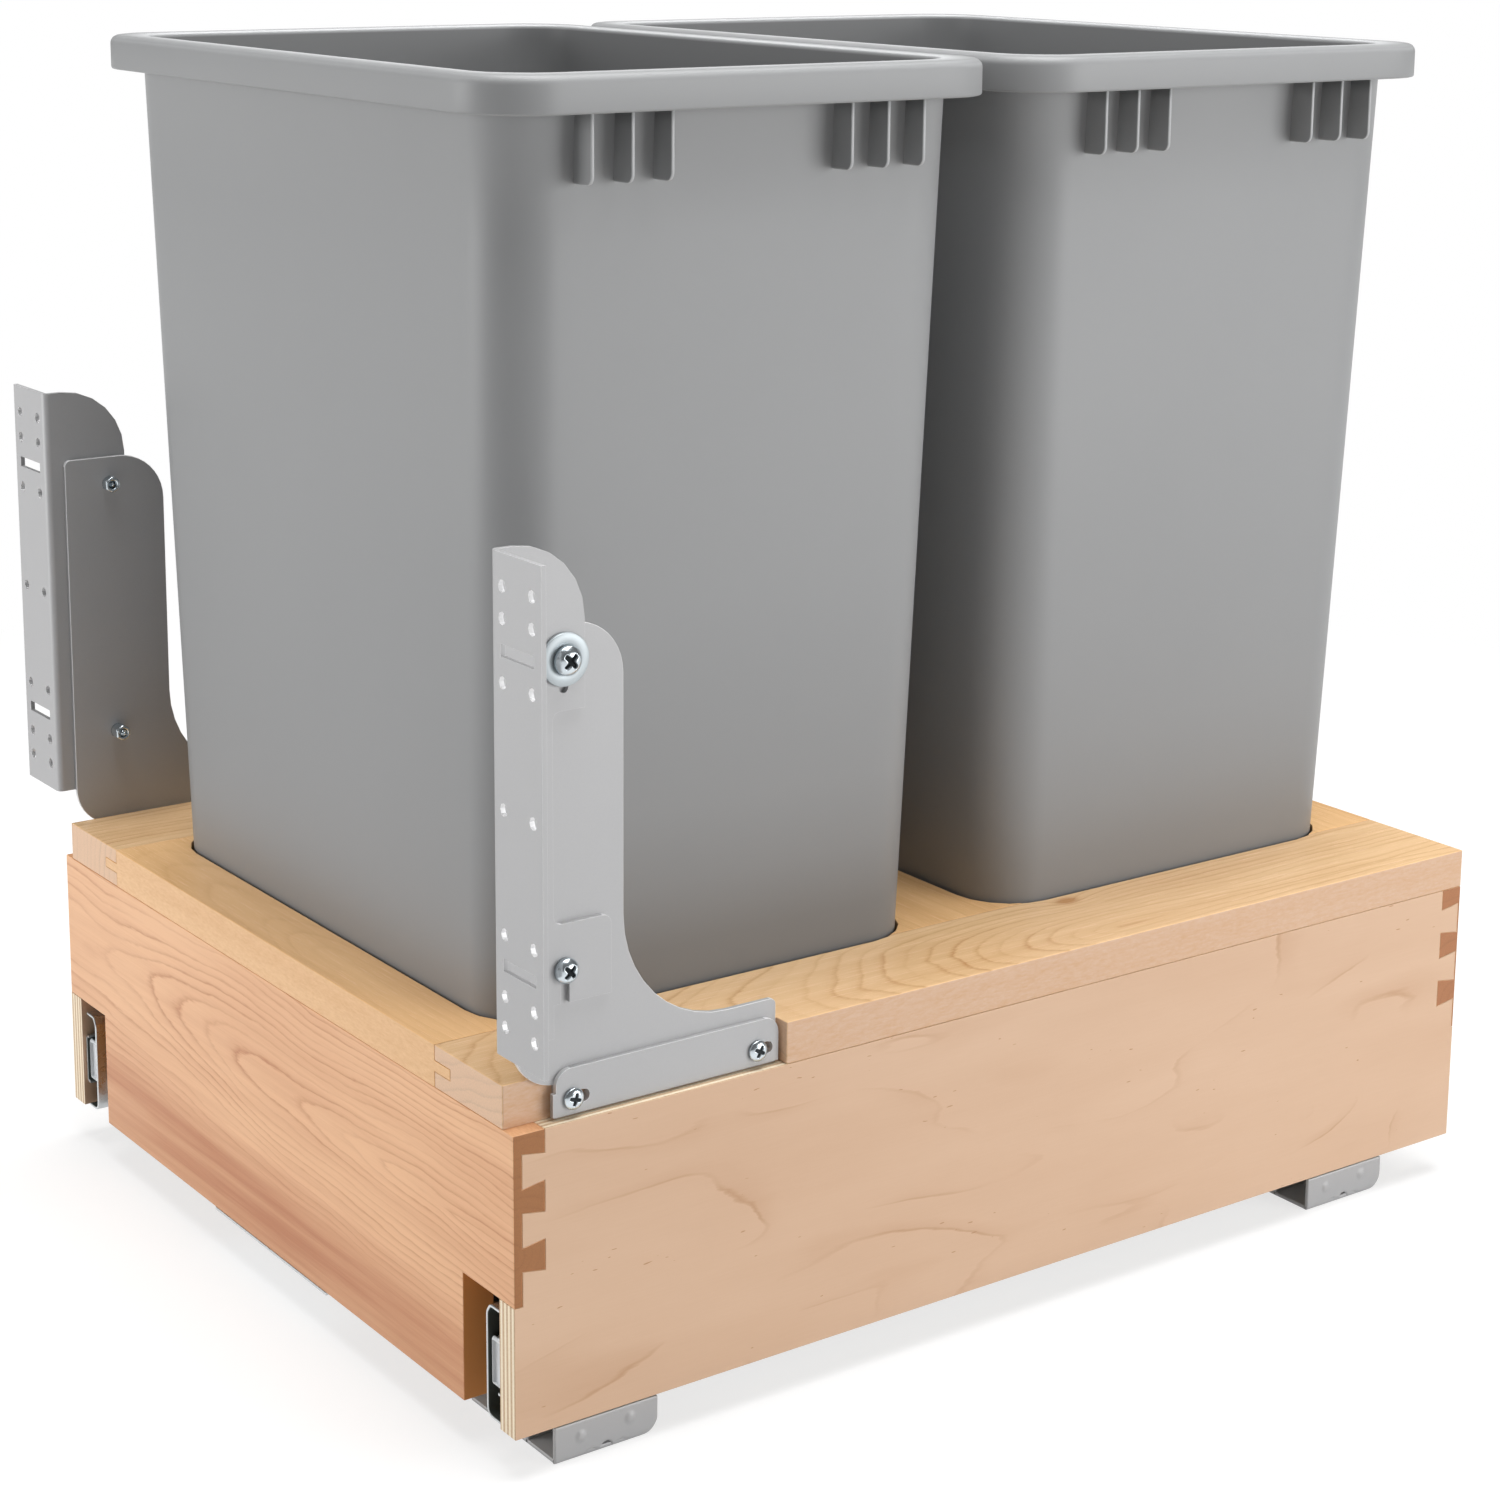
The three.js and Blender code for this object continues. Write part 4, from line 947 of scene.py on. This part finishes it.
def pressed_foot(node, upright_face):
    """A floor plate, an upright and an outer side whose lower edge is a height for each y.

    That height is a half circle over the drain notch, a bell on each side of it and a quarter
    circle at the rear end. The face stands out by a bell over each pip.
    """
    low, high, side = side_of(node)
    f = foot_sizes
    middle = (low[1] + high[1]) / 2
    bend = high[1] - f["corner"]
    sweep = bend + f["corner"] * np.sin(np.linspace(0, np.pi / 2, 12)) * 0.999
    y = np.hstack([low[1], np.linspace(low[1] + 0.3, bend - 0.5, 96), sweep])
    notch = np.sqrt(np.clip(f["notch"] ** 2 - (y - middle) ** 2, 0, None))
    bell = (np.abs(y - middle) - scallop["away"]) / scallop["width"]
    bell = scallop["height"] * np.exp(-(bell**2))
    past = np.clip(y - bend, 0, f["corner"])
    foot = np.maximum(notch, bell) + f["corner"] - np.sqrt(f["corner"] ** 2 - past**2)
    share = np.hstack([0, 0.02, 0.06, np.linspace(0.12, 0.97, 22), 1])
    z = foot[:, None] + share * (f["side"] - foot)[:, None]
    face = np.zeros_like(z)
    for along, up in pip_places:
        away = ((y[:, None] - middle - along) ** 2 + (z - up) ** 2) / f["pip"] ** 2
        face += f["pip_rise"] * np.exp(-(away**2))
    edge = np.array([0.9, 0.35, 0.05] + [0] * 22 + [0.3])
    thin = np.where(np.arange(len(y)) == 0, 0.3, 0)[:, None]
    outer = high[0] - f["pip_rise"] + face - edge - thin
    inner = np.broadcast_to(high[0] - f["pip_rise"] - f["metal"] + thin, z.shape)
    x = np.hstack([outer, inner[:, ::-1]])
    rows_z = np.hstack([z, z[:, ::-1]])
    rows_y = np.broadcast_to(y[:, None], rows_z.shape)
    parts = [np.stack([x, rows_y, rows_z], axis=-1)[:, ::-1]]
    plate_high = np.array([high[0] - f["metal"] / 2 - SEAT_GAP, bend, f["metal"]])
    parts.append(slab(low, plate_high, 0.8))
    wall_low = np.array([upright_face - f["metal"], low[1], low[2] + 0.2])
    wall_high = np.array([upright_face, bend, high[2]])
    parts.append(slab(wall_low, wall_high, 0.6))
    points, faces = joined([handed(part, side) for part in parts])
    made = piece(node, "_pressed", points, faces, coated, "coated_steel")
    made.data.set_sharp_from_angle(angle=math.radians(50))
    return made


for side in SIDES:
    upright = side_of(side + "cabinet_member")[0][0] - SEAT_GAP
    for end in ("front", "rear"):
        made = pressed_foot(side + end + "_floor_bracket", upright)
print("feet have", len(made.data.polygons), "faces each")

# %% [markdown]
# The bumper at the front of each slide is a small block of pale nylon, which stops the drawer
# without a clang. It is a stack of rings along Y whose first rings round off the nose.

# %% Bumper
nose_sizes = {"length": 5.7, "wider": 5.8, "taller": 3, "round": 1.4}


def bumper(node):
    """A moulded block along Y: a broad nose with a round front and a narrower tail."""
    low, high, side = side_of(node)
    n = nose_sizes
    nose_low = low - np.array([n["wider"], 0, n["taller"]])
    nose_high = high + np.array([0, 0, n["taller"]])
    shoulder = low[1] + n["length"]
    rows = [
        (low[1] + (1 - out) * n["round"], nose_low, nose_high, n["round"] * (1 - up))
        for up, out in arc(1, 0, 90, 5).tolist()
    ]
    rows += [(shoulder - 0.3, nose_low, nose_high, 0), (shoulder, nose_low, nose_high, 0.3)]
    rows += [(shoulder, low, high, 0.3), (high[1] - 0.4, low, high, 0.3), (high[1], low, high, 0.6)]
    loops = []
    for y, start, end, inset in rows:
        centre, half = (start + end) / 2, (end - start) / 2
        flat = round_rectangle(half[0] - inset, half[2] - inset, n["round"] - inset * 0.6, steps=5)
        loops.append(ring_at(y, flat, centre[[0, 2]], axis=1))
    points, faces = handed(np.array(loops)[:, ::-1], side)
    return piece(node, "_moulded", points, faces, nylon, "pale_nylon")


for side in SIDES:
    made = bumper(side + "slide_bumper")
print(made.name, "has", len(made.data.polygons), "faces")

# %% [markdown]
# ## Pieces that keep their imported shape
#
# The flat panel under the bins, the thin plate under the front board, the ball cages and the
# screws inside the slides are right as they were packed. Only their material slots are filled.

# %% Kept shapes
kept = {"bottom_panel": panel_ply, "front_under_plate": galvanised}
for side in SIDES:
    for node in ("outer_ball_retainer", "inner_ball_retainer"):
        kept[side + node] = cage
    for number in "12":
        kept[side + "slide_screw_" + number] = zinc
        kept[side + "floor_bracket_bolt_" + number] = zinc
for node, material in kept.items():
    for place in frame["nodes"][node].material_slots:
        place.material = material
print("kept", len(kept), "packed pieces")

# %% [markdown]
# ## Screws, washers and nuts
#
# Turned parts are grids too: one parameter runs along the profile, the other round the axis. The
# thread is a small ripple of the shank's radius that climbs as it goes round. The cross recess is
# pressed into the head by lowering the points under a cross-shaped mask, deepest in the middle.

# %% Turned grids
ANGLES = np.linspace(0, 2 * np.pi, 72, endpoint=False)


def smooth(value):
    """0 below 0, 1 above 1 and an S-shaped ramp between."""
    t = np.clip(value, 0, 1)
    return t * t * (3 - 2 * t)


def all_round(numbers):
    """A grid with one row for each number, which is the same at every angle."""
    return np.tile(np.reshape(numbers, (-1, 1)), len(ANGLES))


def turned(node, along, radius, finish, hoop=False, **painted):
    """A piece from grids of its points' places along X and their distances from its axis."""
    low, high, side = side_of(node)
    centre = (low + high) / 2
    y = centre[1] + radius * np.cos(ANGLES * side)
    z = centre[2] + radius * np.sin(ANGLES * side)
    points, faces = stack(np.stack([side * along, y, z], axis=-1) * MM, hoop)
    return piece(node, "_turned", points, faces, finish, "bright_zinc", **painted)


print("turned parts have", len(ANGLES), "points round the axis")

# %% Screws
recess_sizes = {"reach": 0.64, "arm": 0.16, "depth": 0.4}
THREAD_DEPTH = 0.16


def screw(node, head, height, shank, pitch=1.4, spin=0.8, recess=1.0):
    """A pan-head screw on the node's axis, head outwards.

    The head is a low dome: height falls with the cube of the radius. The recess's depth is the
    product of two soft steps, one across each arm and one along it.
    """
    low, high = side_of(node)[:2]
    seat = high[0] - height
    x = all_round(np.linspace(low[0], seat, 90))
    wave = np.abs(((x / pitch - ANGLES / (2 * np.pi)) % 1) - 0.5) * 2
    point = smooth((x - low[0]) / (1.6 * shank))
    thread = shank * (0.35 + 0.65 * point) - THREAD_DEPTH * shank * wave * point

    rim_x = all_round([seat, seat + 0.12, seat + 0.3 * height])
    rim = all_round([0.96, 0.995, 1.0]) * head

    share = np.linspace(0.985, 0.0, 34)
    r = all_round(share * head)
    dome = all_round(seat + height * (1 - 0.55 * share**3.2))
    u = r * np.cos(ANGLES + spin)
    v = r * np.sin(ANGLES + spin)
    reach = recess_sizes["reach"] * head
    arm = recess_sizes["arm"] * head * (1.3 - 0.5 * r / reach)
    narrow = np.minimum(np.abs(u), np.abs(v))
    mask = smooth((arm - narrow) / (0.07 * head) + 0.5) * smooth((reach - r) / (0.1 * head))
    depth = recess * recess_sizes["depth"] * head * (1.15 - 0.6 * r / reach)
    along = np.vstack([x, rim_x, dome - mask * depth])
    radius = np.vstack([thread, rim, np.maximum(r, 0.01)])
    # painted shade in the cross recess
    shade_paint = np.zeros_like(along)
    shade_paint[-len(share):] = smooth(mask * 1.4)
    return turned(node, along, radius, zinc, grime=shade_paint.ravel())


for side in SIDES:
    screw(side + "upper_screw", 6.2, 4.6, 2.0)
    screw(side + "lower_screw", 5.5, 4.8, 2.0)
    screw(side + "foot_screw_front", 4.7, 2.6, 1.8, pitch=2.0, spin=0.3, recess=0.6)
    made = screw(side + "foot_screw_rear", 4.7, 2.6, 1.8, pitch=2.0, spin=0.5, recess=0.6)
print("a screw has", len(made.data.polygons), "faces")

# %% Washers and nuts
def ring_piece(node, outline, hexagon=False):
    """A washer or nut: a closed profile of (share of thickness, radius) pairs carried round X.

    A hexagon's radius is the distance to its flat side, which is the flat's distance over the
    cosine of the angle from its middle, but never more than the profile's own radius.
    """
    low, high = side_of(node)[:2]
    share, radius = (all_round(column) for column in zip(*outline))
    along = low[0] + (high[0] - low[0]) * share
    if not hexagon:
        return turned(node, along, radius, washer_zinc, hoop=True)
    flat = (high[2] - low[2]) / 2 * math.cos(math.pi / 6)
    turn = (ANGLES + np.pi / 6) % (np.pi / 3) - np.pi / 6
    return turned(node, along, np.minimum(radius, flat / np.cos(turn)), zinc, hoop=True)


washer_ring = [(0, 2.6), (0, 10.9), (0.12, 11.15), (0.5, 11.2), (0.88, 11.1), (1, 10.8), (1, 2.6)]
nut_ring = [(0, 2.3), (0, 3.7), (0.12, 4.2), (0.88, 4.2), (1, 3.7), (1, 2.3)]

for side in SIDES:
    ring_piece(side + "upper_washer", washer_ring)
    ring_piece(side + "upper_nut", nut_ring, hexagon=True)
    made = ring_piece(side + "lower_nut", nut_ring, hexagon=True)
print("a nut has", len(made.data.polygons), "faces")

# %% [markdown]
# ## Floor
#
# The floor glows to white for the camera and for reflections alone, through Light Path, and still
# takes the unit's shadow. Further away it is plain white, so that no horizon shows.

# %% Floor
FLOOR_HALF = 8.0
LIT_GREY = 0.6
SHOWN_GREY = 0.34
SHOWN_GLOW = 0.7
corners = FLOOR_HALF * np.array([(-1, -1, 0), (1, -1, 0), (1, 1, 0), (-1, 1, 0)])
mesh = bpy.data.meshes.new("floor")
mesh.from_pydata(corners.tolist(), [], [[0, 1, 2, 3]])
floor = in_scene("floor", mesh)
make = Shader("pale_floor")
seen = make.node("LightPath", output="Is Camera Ray")
glossy = make.node("LightPath", output="Is Glossy Ray")
lit = make.node("BsdfDiffuse", None, {"Color": grey_level(LIT_GREY)})
glow = make.node("Emission", None, {"Color": grey_level(1.0), "Strength": SHOWN_GLOW})
soft = make.node("BsdfDiffuse", None, {"Color": grey_level(SHOWN_GREY)})
near = make.node("AddShader", None, {0: soft, 1: glow})
white = make.node("Emission", None, {"Color": grey_level(1.0), "Strength": 1.0})
away = make.length(make.here())
far = make.ramp(away - 0.5, (0.0, 0.0), (0.8, 1.0))
shown = make.node("MixShader", None, {0: far, 1: near, 2: white})
both = make.math("MAXIMUM", seen, glossy)
mixed = make.node("MixShader", None, {0: both, 1: lit, 2: shown})
make.node("OutputMaterial", None, {"Surface": mixed})
mesh.materials.append(make.material)
print(floor.name, "laid")

# %% [markdown]
# ## Light
#
# The photograph was taken in a white studio: two soft boxes, one towards each visible side but
# turned away from the near corner, and an overhead one. They are area lamps here, large enough
# for soft shadows, and the room itself gives a little light from all round.

# %% World and lamps
AMBIENT = 0.15
room = Shader("room", bpy.data.worlds)
seen = room.node("LightPath", output="Is Camera Ray")
level = seen * (1 - AMBIENT) + AMBIENT
back = room.node("Background", None, {"Color": grey_level(1.0), "Strength": level})
room.node("OutputWorld", None, {"Surface": back})
bpy.context.scene.world = room.material


def lamp(name, place, aim, size, power):
    """A soft box: a rectangular area lamp at one point that looks at another."""
    data = bpy.data.lights.new(name, "AREA")
    data.shape = "RECTANGLE"
    data.size, data.size_y = size
    data.energy = power
    made = in_scene(name, data)
    made.location = place
    made.rotation_euler = (Vector(aim) - Vector(place)).to_track_quat("-Z", "Y").to_euler()
    return made


middle = (0, 0, 0.3)
soft_boxes = {
    "right_soft_box": ((1.95, 1.15, 0.5), (1.4, 1.2), 30.0),
    "front_soft_box": ((-1.0, -2.0, 0.5), (1.4, 1.2), 26.5),
    "overhead_soft_box": ((0.1, 0.1, 2.2), (1.6, 1.6), 70.0),
}
for name, (place, size, power) in soft_boxes.items():
    made = lamp(name, place, middle, size, power)
    print(made.name, "gives", made.data.energy, "W")

# %% [markdown]
# ## Camera
#
# The unit is seen from its front right corner, from a little above the bins' rims, through a long
# lens. The lens follows from the focal length in pixels of the photograph, whose uprights were
# made parallel: a vertical shift does most of that here, as a view camera would.

# %% Camera
PHOTO_WIDTH = 1500
FOCAL_PIXELS = 3080.7
SENSOR_WIDTH = 36
SHIFT = -0.15
YAW_PITCH_ROLL = (54.30, 11.87, 0.47)
EYE = (1234.0, -890.0, 657.3)
camera_data = bpy.data.cameras.new("portrait")
camera_data.sensor_width = SENSOR_WIDTH
camera_data.lens = SENSOR_WIDTH * FOCAL_PIXELS / PHOTO_WIDTH
camera_data.shift_y = SHIFT
camera = in_scene("portrait", camera_data)
yaw, pitch, roll = (math.radians(angle) for angle in YAW_PITCH_ROLL)
level_length = math.cos(pitch)
backward = Vector((math.sin(yaw) * level_length, -math.cos(yaw) * level_length, math.sin(pitch)))
sideways = Vector((math.cos(yaw), math.sin(yaw), 0))
upward = backward.cross(sideways)
across = math.cos(roll) * sideways + math.sin(roll) * upward
above = -math.sin(roll) * sideways + math.cos(roll) * upward
turn = Matrix((across, above, backward)).transposed().to_4x4()
camera.matrix_world = Matrix.Translation(Vector(EYE) * MM) @ turn
bpy.context.scene.camera = camera
bpy.context.scene.view_settings.view_transform = "Standard"
print("lens", round(camera_data.lens, 1), "mm, shift", camera_data.shift_y)
